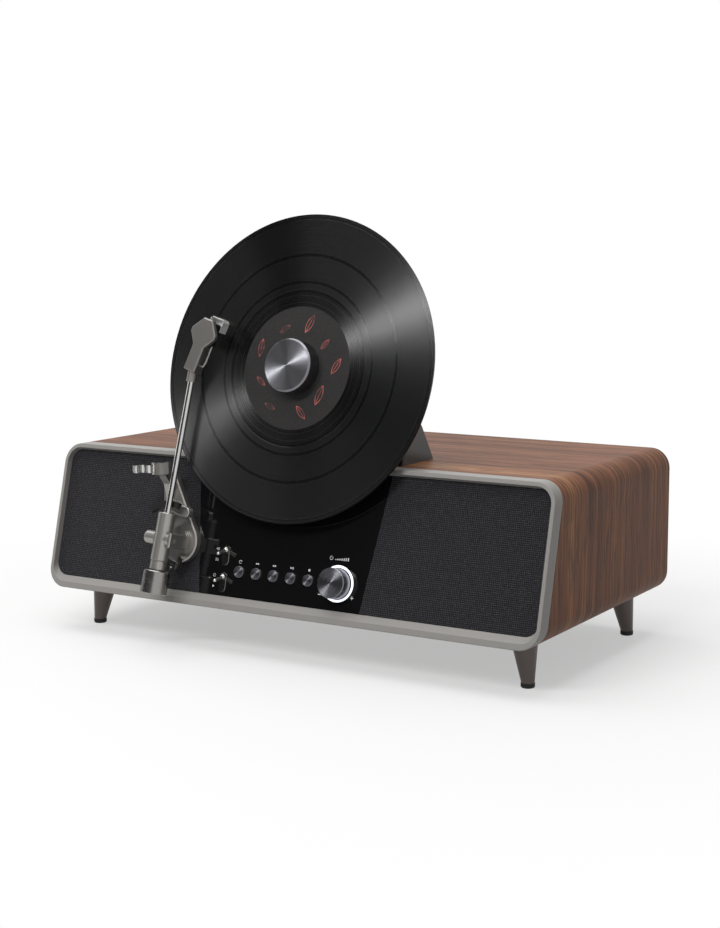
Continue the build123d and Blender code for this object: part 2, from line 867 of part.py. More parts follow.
def tower_block(inset):
    """The solid behind the plate, in from its outer faces by a named inset."""
    ledge, column = tower_ledge_s - inset, tower_column_back + inset
    slope_in = inset * sqrt(1 + tower_back_slope**2)
    deep = tower_base_back + (tower_low - tower_base_back_s) * tower_back_slope + slope_in
    corner = tower_base_back + (ledge - tower_base_back_s) * tower_back_slope + slope_in
    roundings = ((corner, tower_ledge_round - inset), (column, tower_inner_round + inset))
    outline = tower_outline(inset)
    with BuildPart() as block:
        with BuildSketch(seat(0, 0, 0, "side")) as side_view:
            with BuildLine():
                Polyline(
                    (tower_low, tower_middle),
                    (tower_low, deep),
                    (ledge, corner),
                    (ledge, column),
                    (tower_high + tower_wall, column),
                    (tower_high + tower_wall, tower_middle),
                    close=True,
                )
            make_face()
            for t, rounding in roundings:
                fillet(side_view.vertices().sort_by_distance((ledge, t))[0], rounding)
        extrude(amount=tower_half_width + tower_wall, both=True)
        with BuildSketch(seat(0, 0, deep - tower_wall)):
            add(outline)
        extrude(amount=tower_middle - deep + 2 * tower_wall, mode=Mode.INTERSECT)
    return block.part


tower_solid = tower_block(0)
tower_hollow = tower_block(tower_wall)
with BuildPart() as tower_shell:
    add(tower_solid)
    add(tower_hollow, mode=Mode.SUBTRACT)
    split(bisect_by=Plane.XY.offset(cabinet_top), keep=Keep.TOP)
finish(tower_shell, "tower_shell")

tower_face = tower_outline(0)
with BuildPart() as tower_front_plate:
    with BuildSketch(seat(0, 0, tower_middle)):
        add(tower_face)
        with Locations((0, record_height)):
            Circle(bearing_radius + bore_clearance, mode=Mode.SUBTRACT)
        with Locations((motor_x, motor_s)):
            Circle(motor_boss + bore_clearance, mode=Mode.SUBTRACT)
    extrude(amount=tower_plate)
    split(bisect_by=Plane.XY.offset(cabinet_top), keep=Keep.TOP)
finish(tower_front_plate, "tower_front_plate")

# Motor behind the plate, its pulley and the flat belt round the platter's pulley.
platter_front = record_front - record_thickness - mat_thickness
platter_back = platter_front - platter_thickness
hub_back = platter_back - hub_thickness
belt_middle = platter_back - hub_thickness / 2
belt_gap = 0.1
pulley_flange = 1.0
pulley_back = belt_middle - belt_width / 2 - 2 * pulley_flange
motor_back = tower_middle - motor_length
motor_end_wall = 3.0
shaft_seat = motor_back + motor_end_wall
with BuildPart() as motor:
    with BuildSketch(seat(motor_x, motor_s, motor_back)):
        Circle(motor_radius)
    extrude(amount=motor_length)
    with BuildSketch(seat(motor_x, motor_s, tower_middle)):
        Circle(motor_boss)
    extrude(amount=tower_plate)
    with BuildSketch(seat(motor_x, motor_s, shaft_seat)):
        Circle(motor_shaft_radius + bore_clearance)
    extrude(amount=tower_front - shaft_seat, mode=Mode.SUBTRACT)
finish(motor, "motor")

with BuildPart() as motor_pulley:
    with BuildSketch(seat(motor_x, motor_s, shaft_seat + bore_clearance)):
        Circle(motor_shaft_radius)
    extrude(amount=pulley_back - shaft_seat)
    with BuildSketch(seat(motor_x, motor_s, pulley_back)):
        Circle(pulley_radius)
    extrude(amount=belt_width + 4 * pulley_flange)
    for edge in (pulley_back, pulley_back + belt_width + 3 * pulley_flange):
        with BuildSketch(seat(motor_x, motor_s, edge)):
            Circle(pulley_radius + 2 * pulley_flange)
        extrude(amount=pulley_flange)
finish(motor_pulley, "motor_pulley")

belt_loops = []
for lift in (belt_gap + belt_thickness, belt_gap):
    with BuildSketch() as belt_loop:
        with Locations((0, record_height)):
            Circle(hub_radius + lift)
        with Locations((motor_x, motor_s)):
            Circle(pulley_radius + lift)
        make_hull()
    belt_loops.append(belt_loop.sketch)
with BuildPart() as drive_belt:
    with BuildSketch(seat(0, 0, belt_middle - belt_width / 2)):
        add(belt_loops[0])
        add(belt_loops[1], mode=Mode.SUBTRACT)
    extrude(amount=belt_width)
finish(drive_belt, "drive_belt")

# Bearing, spindle and everything that turns on it.
bearing_proud = 4.0
bearing_end_wall = 2.0
bearing_back = tower_front + bearing_proud - bearing_length
bearing_seat = bearing_back + bearing_end_wall
bearing_front = bearing_back + bearing_length
collar_radius = 8.0
with BuildPart() as bearing_sleeve:
    with BuildSketch(seat(0, record_height, bearing_back)):
        Circle(bearing_radius)
    extrude(amount=bearing_length)
    with BuildSketch(seat(0, record_height, tower_middle)):
        Circle(bearing_flange)
    extrude(amount=-bearing_flange_thickness)
    with BuildSketch(seat(0, record_height, bearing_seat)):
        Circle(spindle_radius + spindle_fit)
    extrude(amount=bearing_length, mode=Mode.SUBTRACT)
finish(bearing_sleeve, "bearing_sleeve")

spindle_front = record_front + spindle_rise
with BuildPart() as spindle:
    with BuildSketch(seat(0, record_height, bearing_seat + bore_clearance)):
        Circle(spindle_radius)
    extrude(amount=spindle_front - bearing_seat - bore_clearance)
    chamfer(spindle.edges().group_by(outward)[-1], spindle_radius / 3)
    with BuildSketch(seat(0, record_height, bearing_front + bore_clearance)):
        Circle(collar_radius)
    extrude(amount=hub_back - bearing_front - bore_clearance)
finish(spindle, "spindle")

with BuildPart() as platter_pulley:
    with BuildSketch(seat(0, record_height, hub_back)):
        Circle(hub_radius)
        Circle(spindle_radius + spindle_fit, mode=Mode.SUBTRACT)
    extrude(amount=hub_thickness)
finish(platter_pulley, "platter_pulley")

platter_edge = 1.0
with BuildPart() as platter:
    with BuildSketch(seat(0, record_height, platter_back)):
        Circle(platter_radius)
    extrude(amount=platter_thickness)
    chamfer(platter.edges(), platter_edge)
    with BuildSketch(seat(0, record_height, platter_back)):
        Circle(spindle_radius + spindle_fit)
    extrude(amount=platter_thickness, mode=Mode.SUBTRACT)
finish(platter, "platter")

with BuildPart() as slip_mat:
    with BuildSketch(seat(0, record_height, platter_front)):
        Circle(platter_radius - platter_edge)
        Circle(spindle_radius + spindle_fit, mode=Mode.SUBTRACT)
    extrude(amount=mat_thickness)
finish(slip_mat, "slip_mat")

record_back = record_front - record_thickness
with BuildPart() as record:
    with BuildSketch(seat(0, record_height, record_back)):
        Circle(record_radius)
        Circle(spindle_radius + spindle_fit, mode=Mode.SUBTRACT)
    extrude(amount=record_thickness)
    for face, depth in ((record_front, -groove_relief), (record_back, groove_relief)):
        with BuildSketch(seat(0, record_height, face)):
            Circle(groove_outer)
            Circle(groove_inner, mode=Mode.SUBTRACT)
        extrude(amount=depth, mode=Mode.SUBTRACT)
    with BuildSketch(seat(0, record_height, record_front)):
        Circle(label_radius)
    extrude(amount=-label_thickness, mode=Mode.SUBTRACT)
finish(record, "record")

with BuildPart() as record_label:
    with BuildSketch(seat(0, record_height, record_front - label_thickness)):
        Circle(label_radius)
        Circle(spindle_radius + spindle_fit, mode=Mode.SUBTRACT)
    extrude(amount=label_thickness)
finish(record_label, "record_label")

with BuildPart() as clamp_knob:
    with BuildSketch(seat(0, record_height, record_front)):
        Circle(clamp_radius)
    extrude(amount=clamp_height)
    chamfer(clamp_knob.edges().group_by(outward)[-1], clamp_chamfer)
    with BuildSketch(seat(0, record_height, record_front)):
        Circle(spindle_radius + spindle_fit)
    extrude(amount=spindle_rise + belt_gap, mode=Mode.SUBTRACT)
finish(clamp_knob, "clamp_knob")


# Tonearm base: a drop-shaped foot with the post that the lift rail slides in.
rail_inner = 32.5
rail_outer = 38.5
rail_gap = 0.3
rail_thickness = 4.6
rail_top = arm_height - tube_radius - rail_gap
rail_low = rail_top - rail_thickness
rail_middle = (rail_inner + rail_outer) / 2
column_turn = 15.2
column_x = pivot_x - rail_middle * sin(radians(column_turn))
column_s = pivot_s + rail_middle * cos(radians(column_turn))
column_radius = 4.0
plunger_gap = 1.0
column_top = rail_low - plunger_gap
plunger_radius = 2.0
hub_low = 7.0
hub_top = 15.0
lever_hub_radius = 6.0
pin_gap = 1.0
screw_bore = 4.5
pin_back = baffle_front + pin_gap
with BuildPart() as tonearm_base:
    with BuildSketch(seat(0, 0, recess_floor)):
        with Locations(pivot_place):
            Circle(base_radius)
        with Locations((pivot_x - tail_left, pivot_s + tail_rise)):
            Circle(tail_radius)
        make_hull()
    extrude(amount=base_front - recess_floor)
    chamfer(tonearm_base.edges().group_by(outward)[-1], base_bevel)
    with BuildSketch(seat(*pivot_place, baffle_front)):
        Circle(spigot_radius)
    extrude(amount=recess_floor - baffle_front)
    with BuildSketch(seat(column_x, column_s, base_front)):
        Circle(lever_hub_radius)
    extrude(amount=hub_low - base_front - bore_clearance)
    with BuildSketch(seat(column_x, column_s, base_front)):
        Circle(column_radius)
    extrude(amount=column_top - base_front)
    with BuildSketch(seat(column_x, column_s, recess_floor + bore_clearance)):
        Circle(plunger_radius + spindle_fit)
    extrude(amount=column_top - recess_floor, mode=Mode.SUBTRACT)
    with BuildSketch(seat(*pivot_place, pin_back)):
        Circle(pivot_pin_radius + bore_clearance)
    extrude(amount=base_front - pin_back, mode=Mode.SUBTRACT)
    with BuildSketch(seat(*pivot_place, baffle_front)):
        with PolarLocations(base_screw_circle, base_screws):
            Circle(speaker_screw_radius + bore_clearance)
    extrude(amount=screw_bore, mode=Mode.SUBTRACT)
finish(tonearm_base, "tonearm_base")

# Lift: a lever turns on the post and pushes a curved rail up under the tube.
lever_length = 21.5
lever_turn = -14.0
lever_root_half = 4.5
lobe_radius = 5.5
lever_step = 0.5
lever_low = hub_low + lever_step
lever_top = hub_top - lever_step
lobe_edge = 1.2
lobe = (lever_length * cos(radians(lever_turn)), lever_length * sin(radians(lever_turn)))
with BuildPart() as cue_lever:
    with BuildSketch(seat(column_x, column_s, lever_low)):
        Circle(lever_root_half)
        with Locations(lobe):
            Circle(lobe_radius)
        make_hull()
    extrude(amount=lever_top - lever_low)
    fillet(cue_lever.edges().group_by(outward)[-1], lobe_edge)
    with BuildSketch(seat(column_x, column_s, hub_low)):
        Circle(lever_hub_radius)
    extrude(amount=hub_top - hub_low)
    with BuildSketch(seat(column_x, column_s, hub_low)):
        Circle(column_radius + bore_clearance)
    extrude(amount=hub_top - hub_low, mode=Mode.SUBTRACT)
finish(cue_lever, "cue_lever")

rail_left = 40.0
rail_right = 18.0
with BuildPart() as lift_rail:
    with BuildSketch(seat(*pivot_place, rail_low)):
        with BuildLine():
            CenterArc((0, 0), rail_middle, 90 - rail_right, rail_left + rail_right)
        trace(line_width=rail_outer - rail_inner)
    extrude(amount=rail_top - rail_low)
    with BuildSketch(seat(column_x, column_s, rail_low)):
        Circle(plunger_radius)
    extrude(amount=recess_floor + plunger_gap - rail_low)
finish(lift_rail, "lift_rail")

# Bearing drum that turns on the base, with an upright that carries the trunnion.
drum_low = base_front + bore_clearance
leg_inner = 9.5
leg_outer = block_u - block_edge
drum_rim = drum_top - base_bevel
leg_half = 6.5
block_u_inner = block_u - block_thickness
block_back = arm_height - block_drop
block_middle = arm_height + (block_rise - block_drop) / 2
pin_end = -7.5
pin_dimple = 1.5
with BuildPart() as arm_yoke:
    with BuildSketch(arm_seat(block_u_inner, 0, block_middle, "side")):
        Rectangle(block_size, block_rise + block_drop)
    extrude(amount=block_thickness)
    chamfer(arm_yoke.faces().sort_by(arm_across)[-1].edges(), block_edge)
    with BuildSketch(arm_seat((leg_inner + leg_outer) / 2, 0, drum_low)):
        Rectangle(leg_outer - leg_inner, 2 * leg_half)
    extrude(amount=block_back + block_edge - drum_low)
    with BuildSketch(seat(*pivot_place, drum_low)):
        Circle(drum_radius)
        Circle(drum_radius - base_bevel, mode=Mode.SUBTRACT)
    extrude(amount=drum_rim - drum_low)
    with BuildSketch(seat(*pivot_place, drum_low)):
        Circle(drum_radius - base_bevel)
    extrude(amount=drum_top - drum_low)
    with BuildSketch(seat(*pivot_place, pin_back + bore_clearance)):
        Circle(pivot_pin_radius)
    extrude(amount=drum_low - pin_back)
    with BuildSketch(arm_seat(block_u, 0, arm_height, "side")):
        Circle(trunnion_radius)
    extrude(amount=-pin_dimple, mode=Mode.SUBTRACT)
    with BuildSketch(arm_seat(block_u_inner, 0, arm_height, "side")):
        Circle(trunnion_radius)
    extrude(amount=pin_end - block_u_inner)
finish(arm_yoke, "arm_yoke")

# Arm housing: a barrel that rocks on the trunnion, with a stub for the counterweight.
boss_left = -19.5
boss_right = block_u_inner - flange_gap
boss_round = 2.0
housing_edge = 0.6
pin_play = 0.5
right_boss_radius = 7.0
neck_radius = 7.0
neck_gap = 0.5
weight_blind = 5.5
weight_edge = 0.8
stub_end_v = weight_end_v + weight_blind
tube_root_v = 10.0
groove_width = 4.0
groove_length = 40.0
groove_depth = 1.0
groove_turn = 45.0
groove_v = (housing_front - housing_back) / 2
collar_low = -(housing_back + neck_gap)
collar_end = collar_low - rear_collar_length + neck_gap
with BuildPart() as arm_housing:
    with BuildSketch(arm_seat(0, -housing_back, arm_height, "up")):
        Circle(housing_radius)
    extrude(amount=housing_back + housing_front)
    chamfer(arm_housing.edges(), housing_edge)
    with BuildSketch(arm_seat(0, collar_low, arm_height, "up")):
        Circle(neck_radius)
    extrude(amount=neck_gap)
    with BuildSketch(arm_seat(0, collar_end, arm_height, "up")):
        Circle(rear_collar_radius)
    extrude(amount=collar_low - collar_end)
    with BuildSketch(arm_seat(0, stub_end_v, arm_height, "up")):
        Circle(stub_radius)
    extrude(amount=collar_end - stub_end_v)
    with BuildSketch(arm_seat(boss_left, 0, arm_height, "side")):
        Circle(trunnion_knob)
    extrude(amount=-boss_left)
    fillet(arm_housing.edges().group_by(arm_across)[0], boss_round)
    with BuildSketch(arm_seat(0, 0, arm_height, "side")):
        Circle(right_boss_radius)
    extrude(amount=boss_right)
    with BuildSketch(arm_seat(pin_end - pin_play, 0, arm_height, "side")):
        Circle(trunnion_radius + bore_clearance)
    extrude(amount=boss_right - pin_end + pin_play, mode=Mode.SUBTRACT)
    with BuildSketch(arm_seat(0, tube_root_v, arm_height, "up")):
        Circle(tube_radius + spindle_fit)
    extrude(amount=housing_front - tube_root_v, mode=Mode.SUBTRACT)
    groove_seat = turned(arm_seat(0, groove_v, arm_height), y=-groove_turn)
    groove_seat = groove_seat.offset(housing_radius - groove_depth)
    with BuildSketch(groove_seat):
        SlotOverall(groove_length, groove_width, rotation=90)
    extrude(amount=2 * groove_depth, mode=Mode.SUBTRACT)
finish(arm_housing, "arm_housing")

with BuildPart() as counterweight:
    with BuildSketch(arm_seat(0, weight_end_v, arm_height, "up")):
        Circle(weight_radius)
    extrude(amount=weight_length)
    chamfer(counterweight.edges(), weight_edge)
    with BuildSketch(arm_seat(0, stub_end_v - weight_gap, arm_height, "up")):
        Circle(stub_radius + spindle_fit)
    extrude(amount=weight_top_v - stub_end_v + weight_gap, mode=Mode.SUBTRACT)
finish(counterweight, "counterweight")

with BuildPart() as arm_tube:
    with BuildSketch(arm_seat(0, tube_root_v, arm_height, "up")):
        Circle(tube_radius)
    extrude(amount=tube_end - tube_root_v)
finish(arm_tube, "arm_tube")


def head_seat(w, h, t, facing="front"):
    """A plane on the headshell: w across it, h along it from the end of the tube."""
    swing = radians(head_turn)
    u = w * cos(swing) + h * sin(swing)
    v = neck_v - w * sin(swing) + h * cos(swing)
    return arm_seat(u, v, t, facing, head_turn)


# Headshell: a spade-shaped plate on a block, with a collar for the tube.
head_collar_radius = 5.0
head_collar_v = 157.0
head_neck_half = 7.0
head_wide_half = 15.3
head_tip_half = 5.4
head_neck_h = 26.0
head_wide_low = 37.0
head_wide_high = 41.0
head_tip_h = 54.0
head_block_half = 6.5
head_block_back = 23.0
head_edge = 1.2
head_right = [
    (head_neck_half, 0),
    (head_neck_half, head_neck_h),
    (head_wide_half, head_wide_low),
    (head_wide_half, head_wide_high),
    (head_tip_half, head_tip_h),
]
head_line = head_right + [(-w, h) for w, h in reversed(head_right)]
with BuildPart() as headshell:
    with BuildSketch(head_seat(0, 0, head_back)):
        with BuildLine():
            Polyline(*head_line, close=True)
        make_face()
    extrude(amount=head_front - head_back)
    chamfer(headshell.edges().group_by(outward)[-1], head_edge)
    with BuildSketch(head_seat(0, (head_neck_h - 1) / 2, head_block_back)):
        Rectangle(2 * head_block_half, head_neck_h + 1)
    extrude(amount=head_back - head_block_back)
    with BuildSketch(arm_seat(0, head_collar_v, arm_height, "up")):
        Circle(head_collar_radius)
    extrude(amount=neck_v - head_collar_v)
    with BuildSketch(arm_seat(0, head_collar_v, arm_height, "up")):
        Circle(tube_radius + spindle_fit)
    extrude(amount=tube_end - head_collar_v, mode=Mode.SUBTRACT)
finish(headshell, "headshell")

# Cartridge with its stylus, the guard that slides off it, and the finger lift.
cart_low = 28.0
cart_high = 52.0
cart_half = 7.6
guard_back_t = 22.0
guard_front_t = 11.9
cart_step = 0.5
cart_edge = 1.0
cart_lip = 1.2
carrier_low = 30.0
carrier_high = 46.0
carrier_half = 4.0
carrier_back = 15.0
tip_h = 51.0
tip_t = 13.0
cantilever_radius = 0.5
cart_back = guard_back_t + flange_gap
with BuildPart() as cartridge:
    with BuildSketch(head_seat(0, (cart_low + cart_high) / 2, cart_back)):
        Rectangle(2 * cart_half, cart_high - cart_low)
    extrude(amount=head_back - cart_back)
    chamfer(cartridge.edges().filter_by(outward), cart_edge)
    with BuildSketch(head_seat(0, (cart_low + cart_high) / 2, cart_back - cart_lip)):
        Rectangle(2 * (cart_half - cart_step), cart_high - cart_low - 2 * cart_step)
    extrude(amount=cart_lip)
    with BuildSketch(head_seat(0, (carrier_low + carrier_high) / 2, carrier_back)):
        Rectangle(2 * carrier_half, carrier_high - carrier_low)
    extrude(amount=cart_back - carrier_back)
    with BuildSketch(head_seat(0, carrier_high, carrier_back + 2 * cantilever_radius, "up")):
        Circle(cantilever_radius)
    with BuildSketch(head_seat(0, tip_h, tip_t + cantilever_radius, "up")):
        Circle(cantilever_radius)
    loft()
finish(cartridge, "cartridge")

guard_low = 45.0
guard_high = 58.0
guard_half = 8.2
guard_wall = 0.8
guard_edge = 2.0
head_along = Axis(face_point(0, 0, 0), head_seat(0, 0, 0).y_dir)
with BuildPart() as stylus_guard:
    with BuildSketch(head_seat(0, (guard_low + guard_high) / 2, guard_front_t)):
        Rectangle(2 * guard_half, guard_high - guard_low)
    extrude(amount=guard_back_t - guard_front_t)
    corners = stylus_guard.edges().filter_by(outward)
    chamfer(corners.sort_by(head_along)[-2:], guard_edge)
    with BuildSketch(head_seat(0, (guard_low + guard_high) / 2 - guard_wall, guard_front_t + guard_wall)):
        Rectangle(2 * (guard_half - guard_wall), guard_high - guard_low)
    extrude(amount=guard_back_t - guard_front_t, mode=Mode.SUBTRACT)
finish(stylus_guard, "stylus_guard")

finger_radius = 1.0
finger_t = 29.0
finger_out = 11.5
finger_bend = 1.5
finger_low = 8.0
finger_knee = 13.0
finger_high = 30.0
with BuildPart() as finger_lift:
    with BuildLine(head_seat(0, 0, finger_t)) as finger_line:
        FilletPolyline(
            (head_block_half, finger_low),
            (finger_out - finger_bend, finger_low),
            (finger_out, finger_knee),
            (finger_out, finger_high),
            radius=finger_bend,
        )
    with BuildSketch(head_seat(head_block_half, finger_low, finger_t, "side")):
        Circle(finger_radius)
    sweep(path=finger_line.line)
finish(finger_lift, "finger_lift")

# Rest: a fin on the tail of the base with a shelf for the tube and a clip over it.
rest_turn = 15.8
rest_v = 70.5
park = radians(arm_turn - rest_turn)
rest_x = pivot_x + rest_v * sin(park)
rest_s = pivot_s + rest_v * cos(park)
rest_shelf_t = arm_height - tube_radius - rail_gap
rest_half = 6.0
fin_thickness = 9.0
fin_left = 6.5
fin_foot_low = 30.0
fin_foot_high = 9.0
fin_waist_low = 14.0
fin_waist_high = 3.0
fin_waist_t = 10.0
fin_waist_round = 6.0
shelf_thickness = 3.6
shelf_right = 8.0
prong_gap = 0.4
prong_thickness = 4.0
prong_top = 29.5
shelf_back_t = rest_shelf_t - shelf_thickness
shelf_left = tube_radius + prong_gap + prong_thickness
clip_width = 7.7
clip_half = clip_width / 2
clip_strip = 0.8
clip_barrel = 1.6
clip_pin = 0.8
clip_open = 135.0
clip_t = prong_top + clip_barrel + flange_gap
clip_u = -tube_radius - prong_gap - prong_thickness / 2
rest_plane = turned(seat(rest_x, rest_s, 0), z=rest_turn - arm_turn)
clip_plane = Plane(
    origin=rest_plane.from_local_coords(Vector(clip_u, 0, clip_t)),
    x_dir=rest_plane.x_dir,
    z_dir=-rest_plane.y_dir,
)
with BuildPart() as arm_rest:
    with BuildSketch(seat(rest_x - fin_left, rest_s, 0, "side")) as fin:
        with BuildLine():
            Polyline(
                (-fin_foot_low, base_front),
                (-fin_foot_high, base_front),
                (-fin_waist_high, fin_waist_t),
                (rest_half, shelf_back_t),
                (rest_half, rest_shelf_t),
                (-rest_half, rest_shelf_t),
                (-rest_half, shelf_back_t),
                (-fin_waist_low, fin_waist_t),
                close=True,
            )
        make_face()
        for s in (-fin_waist_high, -fin_waist_low):
            fillet(fin.vertices().sort_by_distance((s, fin_waist_t))[0], fin_waist_round)
    extrude(amount=fin_thickness)
    with BuildSketch(rest_plane.offset(rest_shelf_t)):
        with Locations((-shelf_left, 0)):
            Rectangle(shelf_left + shelf_right, 2 * rest_half, align=(Align.MIN, Align.CENTER))
    extrude(amount=-shelf_thickness)
    with BuildSketch(rest_plane.offset(rest_shelf_t)):
        with Locations((-shelf_left, 0)):
            Rectangle(prong_thickness, 2 * rest_half, align=(Align.MIN, Align.CENTER))
    extrude(amount=prong_top - rest_shelf_t)
    for lug_start in (-rest_half, clip_half + flange_gap):
        with BuildSketch(clip_plane.offset(lug_start)):
            Circle(clip_barrel)
            with Locations((0, -(clip_t - prong_top) / 2)):
                Rectangle(2 * clip_barrel, clip_t - prong_top)
        extrude(amount=rest_half - clip_half - flange_gap)
    with BuildSketch(clip_plane.offset(-rest_half)):
        Circle(clip_pin)
    extrude(amount=2 * rest_half)
finish(arm_rest, "arm_rest")

# Clip: a wavy spring strip hinged on the prong, turned over the parked tube when used.
clip_length = 20.0
clip_wave = 1.3
clip_first = 0.3
clip_pitch = 0.24
clip_line = [(0, 0)]
for crest in range(3):
    along = clip_length * (clip_first + clip_pitch * crest)
    clip_line.append((along, clip_wave * (-1) ** crest))
clip_line.append((clip_length, -clip_wave))
with BuildPart() as arm_clip:
    with BuildSketch(turned(clip_plane, z=clip_open).offset(-clip_half)):
        with BuildLine():
            Spline(*clip_line)
        trace(line_width=clip_strip)
        Circle(clip_barrel)
        Circle(clip_pin + bore_clearance, mode=Mode.SUBTRACT)
    extrude(amount=clip_width)
finish(arm_clip, "arm_clip")

# Anti-skate arm: a hooked strip fixed to the foot below the drum, with an eye and a pin.
skate_low = 4.0
skate_top = 8.0
skate_width = 4.0
skate_eye = 3.6
skate_bend = 4.0
skate_root_right = 6.6
skate_root_drop = 16.4
skate_pin_left = 3.2
skate_pin_drop = 26.6
skate_root = (pivot_x + skate_root_right, pivot_s - skate_root_drop)
skate_pin = (pivot_x - skate_pin_left, pivot_s - skate_pin_drop)
skate_pin_radius = 2.2
skate_pin_top = 9.5
with BuildPart() as anti_skate_arm:
    with BuildSketch(seat(0, 0, skate_low)):
        with BuildLine():
            FilletPolyline(skate_root, (skate_root[0], skate_pin[1]), skate_pin, radius=skate_bend)
        trace(line_width=skate_width)
        with Locations(skate_pin):
            Circle(skate_eye)
    extrude(amount=skate_top - skate_low)
    with BuildSketch(seat(*skate_root, base_front)):
        Rectangle(skate_width, skate_width)
    extrude(amount=skate_top - base_front)
    with BuildSketch(seat(*skate_pin, skate_low)):
        Circle(skate_pin_radius)
    extrude(amount=skate_pin_top - skate_low)
finish(anti_skate_arm, "anti_skate_arm")
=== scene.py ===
import math

import bpy
from mathutils import Matrix, Vector


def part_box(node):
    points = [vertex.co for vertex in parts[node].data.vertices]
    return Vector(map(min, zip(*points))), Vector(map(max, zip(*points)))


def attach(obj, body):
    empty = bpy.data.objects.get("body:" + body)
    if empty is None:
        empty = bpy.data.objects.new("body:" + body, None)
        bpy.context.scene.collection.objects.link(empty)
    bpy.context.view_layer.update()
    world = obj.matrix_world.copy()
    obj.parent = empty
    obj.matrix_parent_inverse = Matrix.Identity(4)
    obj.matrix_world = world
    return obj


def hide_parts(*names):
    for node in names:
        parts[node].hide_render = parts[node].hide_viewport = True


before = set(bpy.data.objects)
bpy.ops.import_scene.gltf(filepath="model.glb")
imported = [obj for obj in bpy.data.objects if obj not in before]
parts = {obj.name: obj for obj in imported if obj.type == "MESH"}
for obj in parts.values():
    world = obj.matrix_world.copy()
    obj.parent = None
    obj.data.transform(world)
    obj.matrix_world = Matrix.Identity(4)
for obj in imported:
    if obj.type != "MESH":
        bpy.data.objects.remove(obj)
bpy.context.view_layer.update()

# Camera.
# It stands to the right of the player, a little above the record's centre, and looks along
# the front. The lens and the place are those at which the cabinet's edges meet the picture's.
camera = bpy.data.objects.new("camera", bpy.data.cameras.new("camera"))
bpy.context.scene.collection.objects.link(camera)
camera.location = (0.89889, -1.41686, 0.4139)
camera.rotation_euler = (math.radians(90 - 8.07), 0, math.radians(30.3))
camera.data.sensor_width = 36
camera.data.lens = 64.78
camera.data.shift_x = -0.0488
bpy.context.scene.camera = camera
bpy.context.scene.view_settings.view_transform = "Standard"


# Studio.
# A white sweep keeps a soft shadow under the player. Three soft boxes light it: a wide one
# above, a long narrow one in front, which draws the fans on the record, and a weak one on the
# left. The gloss panel and the record mirror dark cards, which the camera doesn't see.
def add_node(tree, kind, inputs=None, **settings):
    """Add one node, set it up, link or set its inputs, and return its first output."""
    made = tree.nodes.new(kind)
    for name, value in settings.items():
        setattr(made, name, value)
    for socket, value in (inputs or {}).items():
        if isinstance(value, bpy.types.NodeSocket):
            tree.links.new(value, made.inputs[socket])
        else:
            made.inputs[socket].default_value = value
    return made.outputs[0] if made.outputs else None


def paint(code):
    """An sRGB hex colour as linear red, green, blue and alpha."""
    channels = [int(code[place:place + 2], 16) / 255 for place in (0, 2, 4)]
    linear = [c / 12.92 if c <= 0.04045 else ((c + 0.055) / 1.055) ** 2.4 for c in channels]
    return (*linear, 1.0)


def new_finish(name, code, roughness, **sockets):
    """Start a material on its principled shader; return it, its tree and the shader."""
    material = bpy.data.materials.new(name)
    material.use_nodes = True
    shader = material.node_tree.nodes["Principled BSDF"]
    shader.inputs["Base Color"].default_value = paint(code)
    shader.inputs["Roughness"].default_value = roughness
    for socket, value in sockets.items():
        label = socket.replace("_", " ").title().replace("Ior", "IOR")
        shader.inputs[label].default_value = value
    return material, material.node_tree, shader


def plainly_seen(tree):
    """One for rays straight from the camera, a mirror or a glass, and nought for the rest."""
    rays = add_node(tree, "ShaderNodeLightPath").node.outputs
    mirrored = {0: rays["Is Camera Ray"], 1: rays["Is Glossy Ray"]}
    seen = add_node(tree, "ShaderNodeMath", mirrored, operation="MAXIMUM")
    through = {0: seen, 1: rays["Is Transmission Ray"]}
    return add_node(tree, "ShaderNodeMath", through, operation="MAXIMUM")


world = bpy.data.worlds.new("studio")
bpy.context.scene.world = world
world.use_nodes = True
sky = world.node_tree
sky.nodes.clear()
levels = {"Value": plainly_seen(sky), "To Min": 0.24, "To Max": 1.0}
strength = add_node(sky, "ShaderNodeMapRange", levels)
back_light = add_node(sky, "ShaderNodeBackground", {"Color": (1, 1, 1, 1), "Strength": strength})
add_node(sky, "ShaderNodeOutputWorld", {"Surface": back_light})

# The paper glows to plain white away from the player, and takes its shadow close to it.
sweep, tree, shader = new_finish("white_paper_sweep", "f2f2f2", 0.6, specular_ior_level=0.1)
seen = plainly_seen(tree)
coords = add_node(tree, "ShaderNodeTexCoord").node.outputs["Object"]
away = add_node(tree, "ShaderNodeVectorMath", {0: coords}, operation="LENGTH").node.outputs["Value"]
clearing = {"Value": away, "From Min": 0.24, "From Max": 0.75, "To Min": 0.46, "To Max": 1.0}
away = add_node(tree, "ShaderNodeMapRange", clearing, interpolation_type="SMOOTHSTEP")
glow = add_node(tree, "ShaderNodeMath", {0: away, 1: seen}, operation="MULTIPLY")
greys = {"Factor": seen, 6: paint("9a9a9a"), 7: paint("f4f4f4")}
paper_seen = add_node(tree, "ShaderNodeMix", greys, data_type="RGBA").node.outputs[2]
tree.links.new(paper_seen, shader.inputs["Base Color"])
white = add_node(tree, "ShaderNodeEmission", {"Color": (1, 1, 1, 1), "Strength": 1.0})
surface = add_node(tree, "ShaderNodeMixShader", {0: glow, 1: shader.outputs[0], 2: white})
tree.links.new(surface, tree.nodes["Material Output"].inputs["Surface"])


def add_stage(name, corners, material):
    """A flat sheet of the studio that isn't part of the object."""
    mesh = bpy.data.meshes.new(name)
    mesh.from_pydata(corners, [], [range(len(corners))])
    sheet = bpy.data.objects.new(name, mesh)
    bpy.context.scene.collection.objects.link(sheet)
    mesh.materials.append(material)
    return sheet


